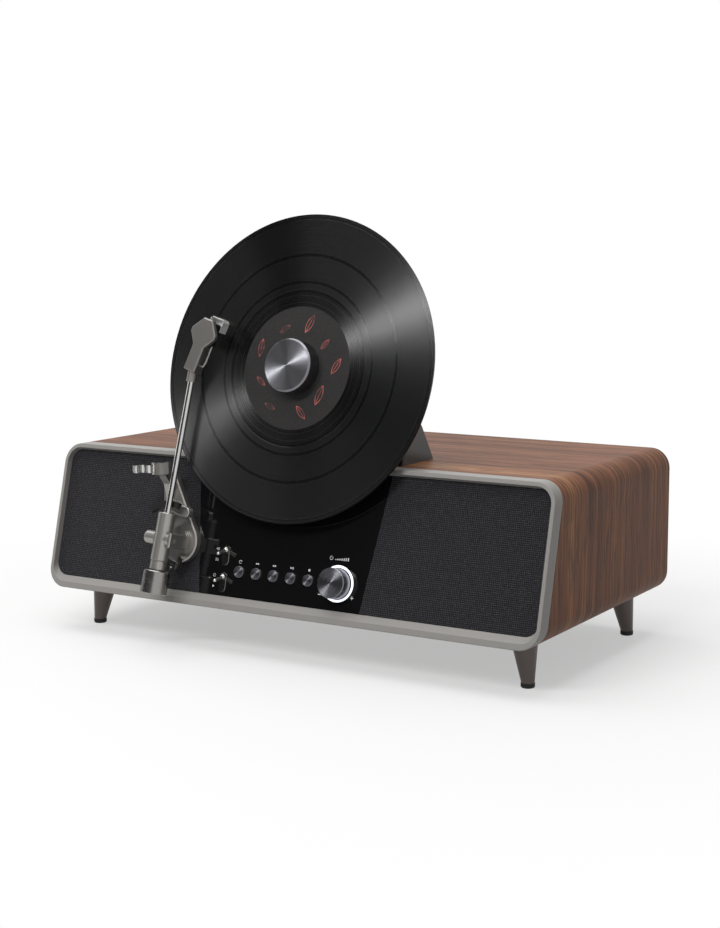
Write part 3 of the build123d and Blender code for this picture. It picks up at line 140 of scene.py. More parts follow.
add_stage("floor", [(-30, -30, 0), (30, -30, 0), (30, 30, 0), (-30, 30, 0)], sweep)

dark_card = new_finish("dark_studio_card", "0c0c0c", 0.9)[0]
card_foot, card_top = 0.01, 4.6
card_line = ((-3.4, 0.2), (-2.4, -2.2), (-0.4, -3.4), (1.0, -3.5))
for number, ((x0, y0), (x1, y1)) in enumerate(zip(card_line, card_line[1:])):
    lower = [(x0, y0, card_foot), (x1, y1, card_foot)]
    upper = [(x1, y1, card_top), (x0, y0, card_top)]
    card = add_stage(f"card_{number}", lower + upper, dark_card)
    card.visible_camera = card.visible_shadow = card.visible_diffuse = False


def add_lamp(name, place, aim, along, size, power):
    """A rectangular soft box that points at a place, with its first side along a direction."""
    lamp = bpy.data.objects.new(name, bpy.data.lights.new(name, "AREA"))
    bpy.context.scene.collection.objects.link(lamp)
    lamp.data.shape = "RECTANGLE"
    lamp.data.size, lamp.data.size_y = size
    lamp.data.energy = power
    back = (Vector(place) - Vector(aim)).normalized()
    side = (Vector(along) - back * back.dot(Vector(along))).normalized()
    lamp.matrix_world = Matrix((side, back.cross(side), back)).transposed().to_4x4()
    lamp.location = place


add_lamp("soft_box_above", place=(-0.3, 0.0, 2.4), aim=(0, 0, 0.1), along=(1, 0, 0),
         size=(2.4, 2.0), power=36)
add_lamp("strip_box_front", place=(-0.1, -1.64, 1.46), aim=(0, -0.09, 0.277),
         along=(1.0, 0.26, 0.4), size=(1.6, 0.18), power=20)
add_lamp("soft_box_left", place=(-2.3, -0.6, 1.1), aim=(0, 0, 0.2), along=(0, 1, 0),
         size=(0.8, 1.6), power=8)


# Cabinet sleeve.
# Walnut veneer over fibreboard, wrapped round the sleeve and lacquered. The grain lies along
# the top and stands on the ends.
def set_finish(names, material):
    """Give CAD pieces one material in every slot."""
    for name in names:
        for place in parts[name].material_slots:
            place.material = material
        if not parts[name].material_slots:
            parts[name].data.materials.append(material)


def lay_colours(tree, pattern, stops, target):
    """Run a pattern through sRGB colours at set places, and into a colour socket."""
    ramp = add_node(tree, "ShaderNodeValToRGB", {"Fac": pattern}).node
    (first, first_code), *between, (last, last_code) = stops
    start, finish = ramp.color_ramp.elements
    start.position, finish.position = first, last
    start.color, finish.color = paint(first_code), paint(last_code)
    for position, code in between:
        ramp.color_ramp.elements.new(position).color = paint(code)
    tree.links.new(ramp.outputs["Color"], target)


# It gives the eye warm brown bands about 60 mm wide, lines of 9 mm and fine ones of 2 mm in
# them, short dark pores 2 mm apart, and the low sheen of a matt lacquer. The fine lines and
# the pores are drawn coarser than the wood's own, so that they show.
veneer, tree, shader = new_finish("lacquered_walnut_veneer", "7c5a49", 0.48,
                                  specular_ior_level=0.12)
coords = add_node(tree, "ShaderNodeTexCoord").node.outputs["Object"]
wander = add_node(tree, "ShaderNodeMapping", {"Vector": coords, "Scale": (2.2, 6.0, 2.2)})
wander = add_node(tree, "ShaderNodeTexNoise", {"Vector": wander, "Scale": 1.0, "Detail": 3.0})
shift = add_node(tree, "ShaderNodeMath", {0: wander, 1: 0.05}, operation="MULTIPLY")
shift = add_node(tree, "ShaderNodeCombineXYZ", {"Y": shift})
drift = add_node(tree, "ShaderNodeVectorMath", {0: coords, 1: shift}, operation="ADD")
figure = 0.0
for across, along, weight in ((16.0, 0.8, 0.29), (110.0, 2.0, 0.36), (520.0, 8.0, 0.35)):
    lines = add_node(tree, "ShaderNodeMapping", {"Vector": drift, "Scale": (along, across, along)})
    fibres = {"Vector": lines, "Scale": 1.0, "Detail": 3.0, "Roughness": 0.6}
    lines = add_node(tree, "ShaderNodeTexNoise", fibres)
    layer = {0: lines, 1: weight, 2: figure}
    figure = add_node(tree, "ShaderNodeMath", layer, operation="MULTIPLY_ADD")
pores = add_node(tree, "ShaderNodeMapping", {"Vector": drift, "Scale": (30.0, 480.0, 30.0)})
pores = add_node(tree, "ShaderNodeTexNoise", {"Vector": pores, "Scale": 1.0, "Detail": 2.0})
pores = add_node(tree, "ShaderNodeMapRange", {"Value": pores, "From Min": 0.5, "From Max": 0.64})
darker = add_node(tree, "ShaderNodeMath", {0: pores, 1: 0.6}, operation="MULTIPLY")
stain = {"Factor": darker, 7: paint("2c1a11")}
wood = add_node(tree, "ShaderNodeMix", stain, data_type="RGBA").node
browns = ((0.38, "482917"), (0.47, "6d432a"), (0.54, "85553a"), (0.63, "ad7d53"))
lay_colours(tree, figure, browns, wood.inputs[6])
tree.links.new(wood.outputs[2], shader.inputs["Base Color"])
dents = add_node(tree, "ShaderNodeMath", {0: pores, 1: -1.0}, operation="MULTIPLY")
dents = add_node(tree, "ShaderNodeBump", {"Height": dents, "Strength": 0.3, "Distance": 0.0002})
tree.links.new(dents, shader.inputs["Normal"])
set_finish(["cabinet_sleeve"], veneer)


# Front bezel.
# A cast rim that carries the sleeve's outline to the front, stands against its cut edge and
# turns in to a sloping sill along the bottom. It is sprayed a warm grey.
def vary_roughness(tree, shader, pattern, low, high):
    """Roughness that follows a pattern between two levels, as handling and casting leave it."""
    levels = {"Value": pattern, "From Min": 0.3, "From Max": 0.7, "To Min": low, "To Max": high}
    level = add_node(tree, "ShaderNodeMapRange", levels)
    tree.links.new(level, shader.inputs["Roughness"])


def grained_finish(name, code, roughness, grain_mm, depth_mm, low, high, relief=0.4, **sockets):
    """A finish with an even grain of a real size in millimetres, in its shape and its gloss."""
    material, tree, shader = new_finish(name, code, roughness, **sockets)
    coords = add_node(tree, "ShaderNodeTexCoord").node.outputs["Object"]
    size = {"Vector": coords, "Scale": 1000.0 / grain_mm, "Detail": 2.0}
    grain = add_node(tree, "ShaderNodeTexNoise", size)
    height = {"Height": grain, "Strength": relief, "Distance": depth_mm / 1000}
    bump = add_node(tree, "ShaderNodeBump", height)
    tree.links.new(bump, shader.inputs["Normal"])
    vary_roughness(tree, shader, grain, low, high)
    return material


# Satin, with the faint orange peel of a sprayed coat where the light glances off.
bezel_paint = grained_finish("sprayed_satin_grey_paint", "9b9894", 0.44, grain_mm=0.7,
                             depth_mm=0.03, low=0.4, high=0.5, specular_ior_level=0.25)
set_finish(["front_bezel"], bezel_paint)

# Speaker grilles.
# Charcoal hopsack, stretched over moulded plastic frames that stand in the bezel's recess on
# either side of the panel. The baffle board lies behind them.

# The threads are drawn 1.9 mm apart, coarser than the real ones, so that they show: a dull
# dark square weave, with slubs in the yarn as pale specks. A wave of scale 1 is 314 mm long.
cloth, tree, shader = new_finish("charcoal_hopsack", "2c2b2e", 0.92, sheen_weight=0.15,
                                 sheen_roughness=0.5, specular_ior_level=0.15)
lean = math.radians(14)
coords = add_node(tree, "ShaderNodeTexCoord").node.outputs["Object"]
upright = {"Vector": coords, "Angle": lean}
level = add_node(tree, "ShaderNodeVectorRotate", upright, rotation_type="X_AXIS")
yarn = {"Vector": level, "Scale": 165.0, "Distortion": 0.8, "Detail": 1.0, "Detail Scale": 2.0}
warp = add_node(tree, "ShaderNodeTexWave", yarn, bands_direction="X")
weft = add_node(tree, "ShaderNodeTexWave", yarn, bands_direction="Z")
weave = add_node(tree, "ShaderNodeMath", {0: warp, 1: weft}, operation="MULTIPLY")
specks = {"Vector": level, "Scale": 1050.0, "Detail": 2.0, "Roughness": 0.7}
slubs = add_node(tree, "ShaderNodeTexNoise", specks)
slubs = add_node(tree, "ShaderNodeMapRange", {"Value": slubs, "From Min": 0.4, "From Max": 0.75})
slubs = add_node(tree, "ShaderNodeMath", {0: slubs, 1: 0.55}, operation="MULTIPLY")
tone = add_node(tree, "ShaderNodeMath", {0: weave, 1: 0.75, 2: slubs}, operation="MULTIPLY_ADD")
charcoals = ((0.0, "171619"), (0.5, "2c2b2e"), (1.0, "56555b"))
lay_colours(tree, tone, charcoals, shader.inputs["Base Color"])
bump = add_node(tree, "ShaderNodeBump", {"Height": tone, "Strength": 0.8, "Distance": 0.0006})
tree.links.new(bump, shader.inputs["Normal"])
set_finish(["grille_cloth"], cloth)

# Fine-textured moulded plastic, a dull black that greys where light rakes it.
abs_black = grained_finish("moulded_black_abs", "1c1c1d", 0.5, grain_mm=0.8, depth_mm=0.04,
                           low=0.42, high=0.6)
set_finish(["grille_frame_left", "grille_frame_right", "baffle_board"], abs_black)

# Control panel.
# A sheet of black acrylic, cut wider at its top, polished on its face and screen printed in
# white. It lies in the bezel's recess between the grilles.

# It mirrors what stands before it, through the faint haze that wiping leaves in patches of
# about 22 mm.
acrylic, tree, shader = new_finish("polished_black_acrylic", "131314", 0.07)
coords = add_node(tree, "ShaderNodeTexCoord").node.outputs["Object"]
haze = add_node(tree, "ShaderNodeTexNoise", {"Vector": coords, "Scale": 45.0, "Detail": 4.0})
vary_roughness(tree, shader, haze, 0.05, 0.12)
set_finish(["centre_panel"], acrylic)

# Flat white print, a little uneven every 0.7 mm, where the mesh of the screen left it thin.
ink, tree, shader = new_finish("white_screen_ink", "e8e8e6", 0.5)
coords = add_node(tree, "ShaderNodeTexCoord").node.outputs["Object"]
mottle = add_node(tree, "ShaderNodeTexNoise", {"Vector": coords, "Scale": 1400.0, "Detail": 2.0})
lay_colours(tree, mottle, ((0.3, "d6d6d4"), (0.6, "efefed")), shader.inputs["Base Color"])

front_depth, front_foot = 0.304, 0.045
front_edge = Vector((0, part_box("cabinet_sleeve")[1][1] - front_depth, front_foot))
face_up = Vector((0, math.sin(lean), math.cos(lean)))
face_out = Vector((0, -math.cos(lean), math.sin(lean)))


def on_front(x, s, t):
    """A place on the leaning front, in millimetres: across, up the slope, forward."""
    return front_edge + Vector((x / 1000, 0, 0)) + face_up * (s / 1000) + face_out * (t / 1000)


def front_frame(x, s, t):
    """A frame on the leaning front, with its z axis towards the viewer."""
    turn = Matrix.Identity(4)
    turn.col[1][:3], turn.col[2][:3], turn.col[3][:3] = face_up, face_out, on_front(x, s, t)
    return turn


def keep_piece(name, mesh, body, material=None):
    """Link a finished mesh as a piece that rides on a CAD body."""
    if material:
        mesh.materials.clear()
        mesh.materials.append(material)
    piece = bpy.data.objects.new(name, mesh)
    bpy.context.scene.collection.objects.link(piece)
    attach(piece, body)
    return piece


def bar(x, s, width, height, turn=0.0):
    """A rectangle of print about its middle."""
    cosine, sine = math.cos(math.radians(turn)), math.sin(math.radians(turn))
    w, h = width / 2, height / 2
    corners = ((-w, -h), (w, -h), (w, h), (-w, h))
    return [(x + a * cosine - b * sine, s + a * sine + b * cosine) for a, b in corners]


def wedge(x, s, size, turn=0.0):
    """A triangle of print that points along its turn."""
    angles = [math.radians(turn + step) for step in (0, 120, 240)]
    return [(x + size * math.cos(angle), s + size * math.sin(angle)) for angle in angles]


def hoop(x, s, radius, width, start=0.0, sweep=360.0, steps=20):
    """Bars that make an arc of print."""
    length = 2 * math.pi * radius * sweep / 360 / steps * 1.1
    shapes = []
    for step in range(steps):
        turn = start + sweep * (step + 0.5) / steps
        out, up = math.cos(math.radians(turn)), math.sin(math.radians(turn))
        shapes.append(bar(x + radius * out, s + radius * up, width, length, turn))
    return shapes


# The marks, in millimetres: one over each button, minus and plus by the knob, the power mark
# with its rising bars, and a ring and a wedge by the lower toggle.
panel_face = -5.97
button_x = [-48 + 20.15 * number for number in range(5)]
repeat_x, previous_x, next_x, play_x, stop_x = button_x
mark_s, arrow = 48.2, 1.3
marks = hoop(repeat_x, mark_s, 1.5, 0.4, 20, 300)
marks += [wedge(repeat_x + 1.4, mark_s + 1.1, 0.8, 60)]
marks += [wedge(previous_x + aside, mark_s, arrow, 180) for aside in (-0.9, 1.2)]
marks += [wedge(next_x + aside, mark_s, arrow) for aside in (-1.2, 0.9)]
marks += [wedge(play_x - 1.0, mark_s, arrow)]
marks += [bar(play_x + aside, mark_s, 0.5, 2.2) for aside in (0.9, 1.9)]
marks += [bar(stop_x, mark_s, 2.1, 2.1)]
minus_x, plus_x, sign_long, sign_wide = 47, 83.2, 3.4, 0.8
marks += [bar(minus_x, 26.8, sign_long, sign_wide)]
marks += [bar(plus_x, 27, sign_long, sign_wide), bar(plus_x, 27, sign_wide, sign_long)]
power_x, power_s, power_line = 55.5, 62.4, 0.45
marks += hoop(power_x, power_s, 1.6, power_line, 125, 290)
marks += [bar(power_x, power_s + 1.6, power_line, 1.8)]
marks += [bar(60.5 + 2.3 * step, 61.3 + 0.2 * step, 1.1, 0.8 + 0.4 * step) for step in range(7)]
marks += hoop(-77.0, 32.4, 1.3, 0.4) + [wedge(-76.9, 21.6, 1.5)]
mesh = bpy.data.meshes.new("panel_print")
corners, faces = [], []
for shape in marks:
    faces.append(range(len(corners), len(corners) + len(shape)))
    corners += [(x / 1000, s / 1000, 0) for x, s in shape]
mesh.from_pydata(corners, [], faces)
mesh.transform(front_frame(0, 0, panel_face))
keep_piece("panel_print", mesh, "cabinet", ink)

# The two speeds, in figures 3.8 mm high, beside the upper toggle.
speed_x, figure_size = -76.5, 0.0038
for name, text, s in (("speed_fast", "45", 58.2), ("speed_slow", "33", 47.8)):
    words = bpy.data.objects.new(name, bpy.data.curves.new(name, "FONT"))
    bpy.context.scene.collection.objects.link(words)
    words.data.body, words.data.size = text, figure_size
    words.data.align_x, words.data.align_y = "CENTER", "CENTER"
    bpy.context.view_layer.update()
    graph = bpy.context.evaluated_depsgraph_get()
    mesh = bpy.data.meshes.new_from_object(words.evaluated_get(graph))
    bpy.data.objects.remove(words)
    mesh.transform(front_frame(speed_x, s, panel_face))
    keep_piece(name, mesh, "cabinet", ink)


# Volume knob and buttons.
# Turned aluminium, anodised grey. The knob is pressed on its shaft within a lit ring of milky
# plastic. Each button stands in a hole of the panel, with a flange behind it.
def spin_finish(name, code, roughness, x, s):
    """Anodised aluminium, spun about a place on the front.

    The rings, drawn 0.4 mm apart so that they show, spread the light in two bows across the
    face, and a bright line runs round the cut edge."""
    spun, tree, shader = new_finish(name, code, roughness, metallic=1.0, anisotropic=0.93)
    coords = add_node(tree, "ShaderNodeTexCoord").node.outputs["Object"]
    middle, out = tuple(on_front(x, s, 0)), tuple(face_out)
    reach = add_node(tree, "ShaderNodeVectorMath", {0: coords, 1: middle}, operation="SUBTRACT")
    depth = add_node(tree, "ShaderNodeVectorMath", {0: reach, 1: out}, operation="DOT_PRODUCT")
    depth = depth.node.outputs["Value"]
    rise = add_node(tree, "ShaderNodeVectorMath", {0: out, "Scale": depth}, operation="SCALE")
    reach = add_node(tree, "ShaderNodeVectorMath", {0: reach, 1: rise}, operation="SUBTRACT")
    tree.links.new(reach, shader.inputs["Tangent"])
    radius = add_node(tree, "ShaderNodeVectorMath", {0: reach}, operation="LENGTH")
    spacing = {"W": radius.node.outputs["Value"], "Scale": 2500.0, "Detail": 2.0}
    rings = add_node(tree, "ShaderNodeTexNoise", spacing, noise_dimensions="1D")
    vary_roughness(tree, shader, rings, roughness - 0.03, roughness + 0.05)
    height = {"Height": rings, "Strength": 0.08, "Distance": 0.00005}
    tree.links.new(add_node(tree, "ShaderNodeBump", height), shader.inputs["Normal"])
    return spun


knob_x, knob_s, button_s = 65.7, 38.8, 38.4
knob_finish = spin_finish("spun_aluminium_volume", "828288", 0.29, knob_x, knob_s)
set_finish(["volume_knob"], knob_finish)
for name, x in zip(("repeat", "previous", "next", "play", "stop"), button_x):
    face = spin_finish(f"spun_aluminium_{name}", "77777c", 0.32, x, button_s)
    set_finish([f"button_{name}"], face)

# The ring glows white and a little blue, as bright as paper, in soft patches 11 mm across.
lit, tree, shader = new_finish("lit_milky_acrylic", "f2f6ff", 0.4, emission_strength=1.0)
coords = add_node(tree, "ShaderNodeTexCoord").node.outputs["Object"]
patches = add_node(tree, "ShaderNodeTexNoise", {"Vector": coords, "Scale": 90.0, "Detail": 1.0})
lay_colours(tree, patches, ((0.3, "d5e2fb"), (0.65, "ffffff")), shader.inputs["Emission Color"])
set_finish(["light_ring"], lit)

# Toggle switches.
# Two nickel-plated levers, each rocking on a cross pin in the barrel of a long plate. The
# plates are plated black.

# Bright plate mirrors the room, warmer than chrome and barely blurred, with no grain to see.
nickel = grained_finish("bright_nickel_plate", "c6c5c3", 0.16, grain_mm=6.0, depth_mm=0.001,
                        low=0.15, high=0.19, relief=0.1, metallic=1.0)
set_finish(["toggle_speed", "toggle_mode"], nickel)
# The same shine, darker and a little softer, with bright edges.
black_nickel = grained_finish("black_nickel_plate", "6e6d6b", 0.22, grain_mm=0.8, depth_mm=0.01,
                              low=0.18, high=0.27, metallic=1.0)
set_finish(["toggle_bushings"], black_nickel)

# Tower, platter and drive behind the record.
# A flat plastic plate with a hollow shell behind it stands on the cabinet and holds the
# bearing. The platter's spindle turns in a brass sleeve, and a rubber belt drives it from a
# motor behind the plate.

# Moulded and lightly textured: a dark grey, a shade green and brown, with a dull sheen.
tower_abs = grained_finish("moulded_olive_grey_abs", "34322e", 0.5, grain_mm=0.7, depth_mm=0.04,
                           low=0.42, high=0.58)
set_finish(["tower_shell"], tower_abs)
set_finish(["tower_front_plate"], abs_black)
# Pale metal with a soft gleam, from the fine marks of the lathe.
aluminium = grained_finish("turned_aluminium", "8f8f8e", 0.33, grain_mm=0.4, depth_mm=0.02,
                           low=0.27, high=0.4, metallic=1.0)
set_finish(["platter", "platter_pulley", "spindle", "encoder_shaft", "baffle_screws"], aluminium)
# Dull, dusty black.
rubber = grained_finish("moulded_black_rubber", "141414", 0.75, grain_mm=1.0, depth_mm=0.06,
                        low=0.65, high=0.85)
set_finish(["foot_pads", "drive_belt", "slip_mat"], rubber)
# Yellow metal, as softly turned as the aluminium.
brass = grained_finish("turned_brass", "b08d57", 0.3, grain_mm=0.5, depth_mm=0.02,
                       low=0.24, high=0.36, metallic=1.0)
set_finish(["bearing_sleeve", "motor_pulley"], brass)
# Blacked sheet steel, between a metal's gleam and a paint's.
steel = grained_finish("blacked_steel_can", "2a2a2b", 0.45, grain_mm=0.5, depth_mm=0.02,
                       low=0.38, high=0.52, metallic=0.5)
set_finish(["motor", "speaker_left", "speaker_right"], steel)
# Pulp pressed on a mesh: dry, dark and without shine.
paper = grained_finish("pressed_paper_cone", "2b2b2a", 0.85, grain_mm=1.2, depth_mm=0.08,
                       low=0.78, high=0.92)
set_finish(["speaker_cones"], paper)
# Solder mask, a green lacquer over a glass weave.
board = grained_finish("green_circuit_board", "1d4a30", 0.45, grain_mm=0.6, depth_mm=0.03,
                       low=0.38, high=0.52)
set_finish(["main_board", "control_board"], board)


# Record.
# Pressed vinyl, centred on the spindle by its hole. One spiral groove fills the field between
# the smooth run-out and the rolled edge, and lies flat in the gaps between the tracks.
def new_tree(name, sizes):
    """Start a geometry tree with named number inputs; return it and its input sockets."""
    tree = bpy.data.node_groups.new(name, "GeometryNodeTree")
    tree.interface.new_socket("Geometry", in_out="OUTPUT", socket_type="NodeSocketGeometry")
    for label, value in sizes.items():
        given = tree.interface.new_socket(label, in_out="INPUT", socket_type="NodeSocketFloat")
        given.default_value = value
    return tree, add_node(tree, "NodeGroupInput").node.outputs


def grow_mesh(tree, shape, material, sizes):
    """End a geometry tree, run it once at the sizes given and keep the result as a plain mesh."""
    shape = add_node(tree, "GeometryNodeRealizeInstances", {0: shape})
    shape = add_node(tree, "GeometryNodeSetMaterial", {0: shape, "Material": material})
    add_node(tree, "NodeGroupOutput", {0: shape})
    grower = bpy.data.objects.new(tree.name, bpy.data.meshes.new(tree.name))
    bpy.context.scene.collection.objects.link(grower)
    growth = grower.modifiers.new("growth", "NODES")
    growth.node_group = tree
    for socket in tree.interface.items_tree:
        if socket.name in sizes:
            growth[socket.identifier] = sizes[socket.name]
    graph = bpy.context.evaluated_depsgraph_get()
    grown = grower.evaluated_get(graph)
    mesh = bpy.data.meshes.new_from_object(grown, preserve_all_data_layers=True, depsgraph=graph)
    grower.modifiers.clear()
    bpy.data.objects.remove(grower)
    return mesh


# The record's middle up the slope, and the heights of its face and its label's, in millimetres.
record_s, record_top, label_top = 239.3, 11.6, 11.63
record_middle = tuple(on_front(0, record_s, record_top))


def vinyl_finish(name, roughness, sparkle_mm):
    """Black pressed vinyl, which spreads each lamp across the groove into a fan.

    A sparkle of 1.4 mm breaks up the fan, coarser than the groove's own, so that it shows."""
    gloss = {"anisotropic": 0.94, "specular_ior_level": 0.6}
    vinyl, tree, shader = new_finish(name, "070708", roughness, **gloss)
    coords = add_node(tree, "ShaderNodeTexCoord").node.outputs["Object"]
    away = {0: coords, 1: record_middle}
    reach = add_node(tree, "ShaderNodeVectorMath", away, operation="SUBTRACT")
    tree.links.new(reach, shader.inputs["Tangent"])
    sparkle = {"Vector": coords, "Scale": 700.0, "Detail": 1.0}
    sparkle = add_node(tree, "ShaderNodeTexNoise", sparkle)
    height = {"Height": sparkle, "Strength": 1.0, "Distance": sparkle_mm / 1000}
    tree.links.new(add_node(tree, "ShaderNodeBump", height), shader.inputs["Normal"])
    return vinyl, tree, shader, reach


# The smooth vinyl's gloss changes in faint rings 3.3 mm wide, as the press leaves it.
vinyl, tree, shader, reach = vinyl_finish("smooth_pressed_vinyl", 0.27, sparkle_mm=0.004)
radius = add_node(tree, "ShaderNodeVectorMath", {0: reach}, operation="LENGTH")
rings = {"W": radius.node.outputs["Value"], "Scale": 300.0, "Detail": 4.0, "Roughness": 0.7}
rings = add_node(tree, "ShaderNodeTexNoise", rings, noise_dimensions="1D")
vary_roughness(tree, shader, rings, 0.19, 0.35)
set_finish(["record"], vinyl)

# The groove is drawn at 1.5 mm a turn, since the real one is too fine to show. The rest of its
# spread of light is in the finish.
sizes = {"Inner": 0.0767, "Outer": 0.1463, "Pitch": 0.0015, "Depth": 0.00004, "Relief": 0.00015,
         "First gap": 0.0842, "Second gap": 0.1108, "Seed": 5.0}
tree, given = new_tree("groove_field", sizes)

# A sheet with four columns of corners to each turn of the groove, to be wrapped into a ring.
span = {0: given["Outer"], 1: given["Inner"]}
span = add_node(tree, "ShaderNodeMath", span, operation="SUBTRACT")
columns = add_node(tree, "ShaderNodeMath", {0: span, 1: given["Pitch"]}, operation="DIVIDE")
columns = add_node(tree, "ShaderNodeMath", {0: columns, 1: 4.0, 2: 4.0}, operation="MULTIPLY_ADD")
columns = add_node(tree, "ShaderNodeMath", {0: columns}, operation="FLOOR")
sheet = {"Size X": 1.0, "Size Y": 1.0, "Vertices X": columns, "Vertices Y": 181}
grid = add_node(tree, "GeometryNodeMeshGrid", sheet)
here = add_node(tree, "GeometryNodeInputPosition")
axes = add_node(tree, "ShaderNodeSeparateXYZ", {0: here}).node.outputs
round_trip = {0: axes["Y"], 1: math.tau, 2: math.pi}
turn = add_node(tree, "ShaderNodeMath", round_trip, operation="MULTIPLY_ADD")

# The columns spread from the inner edge to the outer, and the last folds back to the inner.
last = add_node(tree, "ShaderNodeMath", {0: columns, 1: 1.0}, operation="SUBTRACT")
column = add_node(tree, "ShaderNodeMath", {0: axes["X"], 1: 0.5}, operation="ADD")
column = add_node(tree, "ShaderNodeMath", {0: column, 1: last}, operation="MULTIPLY")
column = add_node(tree, "ShaderNodeMath", {0: column}, operation="ROUND")
end = add_node(tree, "ShaderNodeMath", {0: last, 1: 2.0}, operation="SUBTRACT")
share = add_node(tree, "ShaderNodeMapRange", {"Value": column, "From Min": 1.0, "From Max": end})
before_last = add_node(tree, "ShaderNodeMath", {0: last, 1: 0.5}, operation="SUBTRACT")
inside = add_node(tree, "ShaderNodeMath", {0: column, 1: before_last}, operation="LESS_THAN")
share = add_node(tree, "ShaderNodeMath", {0: share, 1: inside}, operation="MULTIPLY")
spread = {0: share, 1: span, 2: given["Inner"]}
radius = add_node(tree, "ShaderNodeMath", spread, operation="MULTIPLY_ADD")

# The groove swells with the music, and lies flat in the two gaps between the tracks.
swell = {0: radius, 1: 700.0, 2: given["Seed"]}
swell = add_node(tree, "ShaderNodeMath", swell, operation="MULTIPLY_ADD")
swell = {"W": swell, "Scale": 1.0, "Detail": 2.0}
swell = add_node(tree, "ShaderNodeTexNoise", swell, noise_dimensions="1D")
swell = {"Value": swell, "From Min": 0.3, "From Max": 0.7, "To Min": 0.6, "To Max": 1.0}
swell = add_node(tree, "ShaderNodeMapRange", swell)
gap_half, gap_edge = 0.0008, 0.0016
for gap in ("First gap", "Second gap"):
    near = add_node(tree, "ShaderNodeMath", {0: radius, 1: given[gap]}, operation="SUBTRACT")
    near = add_node(tree, "ShaderNodeMath", {0: near}, operation="ABSOLUTE")
    near = {"Value": near, "From Min": gap_half, "From Max": gap_edge}
    near = add_node(tree, "ShaderNodeMapRange", near)
    swell = add_node(tree, "ShaderNodeMath", {0: swell, 1: near}, operation="MULTIPLY")

# A wave that moves on by one pitch in each turn is one spiral groove.
wave = add_node(tree, "ShaderNodeMath", {0: radius, 1: given["Pitch"]}, operation="DIVIDE")
wave = add_node(tree, "ShaderNodeMath", {0: wave, 1: math.tau, 2: turn}, operation="MULTIPLY_ADD")
wave = add_node(tree, "ShaderNodeMath", {0: wave}, operation="SINE")
wave = add_node(tree, "ShaderNodeMath", {0: wave, 1: swell}, operation="MULTIPLY")
middle = add_node(tree, "ShaderNodeMath", {0: given["Relief"], 1: 0.5}, operation="MULTIPLY")
height = {0: wave, 1: given["Depth"], 2: middle}
height = add_node(tree, "ShaderNodeMath", height, operation="MULTIPLY_ADD")

# The first column and the last two drop by the relief, which gives the ring its edges and
# its underside.
above = add_node(tree, "ShaderNodeMath", {0: column, 1: 0.5}, operation="GREATER_THAN")
end = add_node(tree, "ShaderNodeMath", {0: end, 1: 0.5}, operation="ADD")
below = add_node(tree, "ShaderNodeMath", {0: column, 1: end}, operation="LESS_THAN")
above = add_node(tree, "ShaderNodeMath", {0: above, 1: below}, operation="MULTIPLY")
height = add_node(tree, "ShaderNodeMath", {0: height, 1: above}, operation="MULTIPLY")
height = add_node(tree, "ShaderNodeMath", {0: height, 1: given["Relief"]}, operation="SUBTRACT")
across = add_node(tree, "ShaderNodeMath", {0: turn}, operation="COSINE")
across = add_node(tree, "ShaderNodeMath", {0: across, 1: radius}, operation="MULTIPLY")
up = add_node(tree, "ShaderNodeMath", {0: turn}, operation="SINE")
up = add_node(tree, "ShaderNodeMath", {0: up, 1: radius}, operation="MULTIPLY")
spot = add_node(tree, "ShaderNodeCombineXYZ", {"X": across, "Y": up, "Z": height})
field = {"Geometry": grid, "Name": "loudness", "Value": swell}
field = add_node(tree, "GeometryNodeStoreNamedAttribute", field)
field = add_node(tree, "GeometryNodeSetPosition", {"Geometry": field, "Position": spot})
same_place = 0.000001
field = add_node(tree, "GeometryNodeMergeByDistance", {"Geometry": field, "Distance": same_place})
field = add_node(tree, "GeometryNodeSetShadeSmooth", {"Geometry": field})

# The grooved vinyl is duller where the groove is loud, so the gaps show as darker rings.
vinyl, vinyl_tree, shader, _ = vinyl_finish("grooved_pressed_vinyl", 0.28, sparkle_mm=0.022)
loud = add_node(vinyl_tree, "ShaderNodeAttribute", attribute_name="loudness").node.outputs["Fac"]
loud = {"Value": loud, "From Min": 0.0, "From Max": 0.9, "To Min": 0.23, "To Max": 0.31}
loud = add_node(vinyl_tree, "ShaderNodeMapRange", loud)
vinyl_tree.links.new(loud, shader.inputs["Roughness"])
mesh = grow_mesh(tree, field, vinyl, sizes)
mesh.transform(front_frame(0, record_s, record_top))
keep_piece("groove_field", mesh, "turntable")

# Record label.
# A disc of charcoal paper, pressed into the vinyl with the record. Nine leaves are printed
# round it in thin red line.

# Dry paper, mottled every 2 mm by its fibres.
label_paper, tree, shader = new_finish("printed_label_paper", "242222", 0.6, specular_ior_level=0.3)
coords = add_node(tree, "ShaderNodeTexCoord").node.outputs["Object"]
pulp = {"Vector": coords, "Scale": 500.0, "Detail": 5.0, "Roughness": 0.7}
fibre = add_node(tree, "ShaderNodeTexNoise", pulp)
lay_colours(tree, fibre, ((0.35, "201e1e"), (0.65, "2c2a29")), shader.inputs["Base Color"])
set_finish(["record_label"], label_paper)

# A dusty red that fades and returns every 9 mm, as a thin ink does on dark paper.
red_ink, tree, shader = new_finish("red_line_ink", "a8504a", 0.55)
coords = add_node(tree, "ShaderNodeTexCoord").node.outputs["Object"]
fade = add_node(tree, "ShaderNodeTexNoise", {"Vector": coords, "Scale": 110.0, "Detail": 2.0})
lay_colours(tree, fade, ((0.38, "5e3533"), (0.6, "c4625b")), shader.inputs["Base Color"])

sizes = {"Leaf length": 0.0095, "Leaf width": 0.0033, "Line": 0.16, "Ring": 0.043, "Leaves": 9.0,
         "Seed": 4.0}
tree, given = new_tree("label_sprigs", sizes)

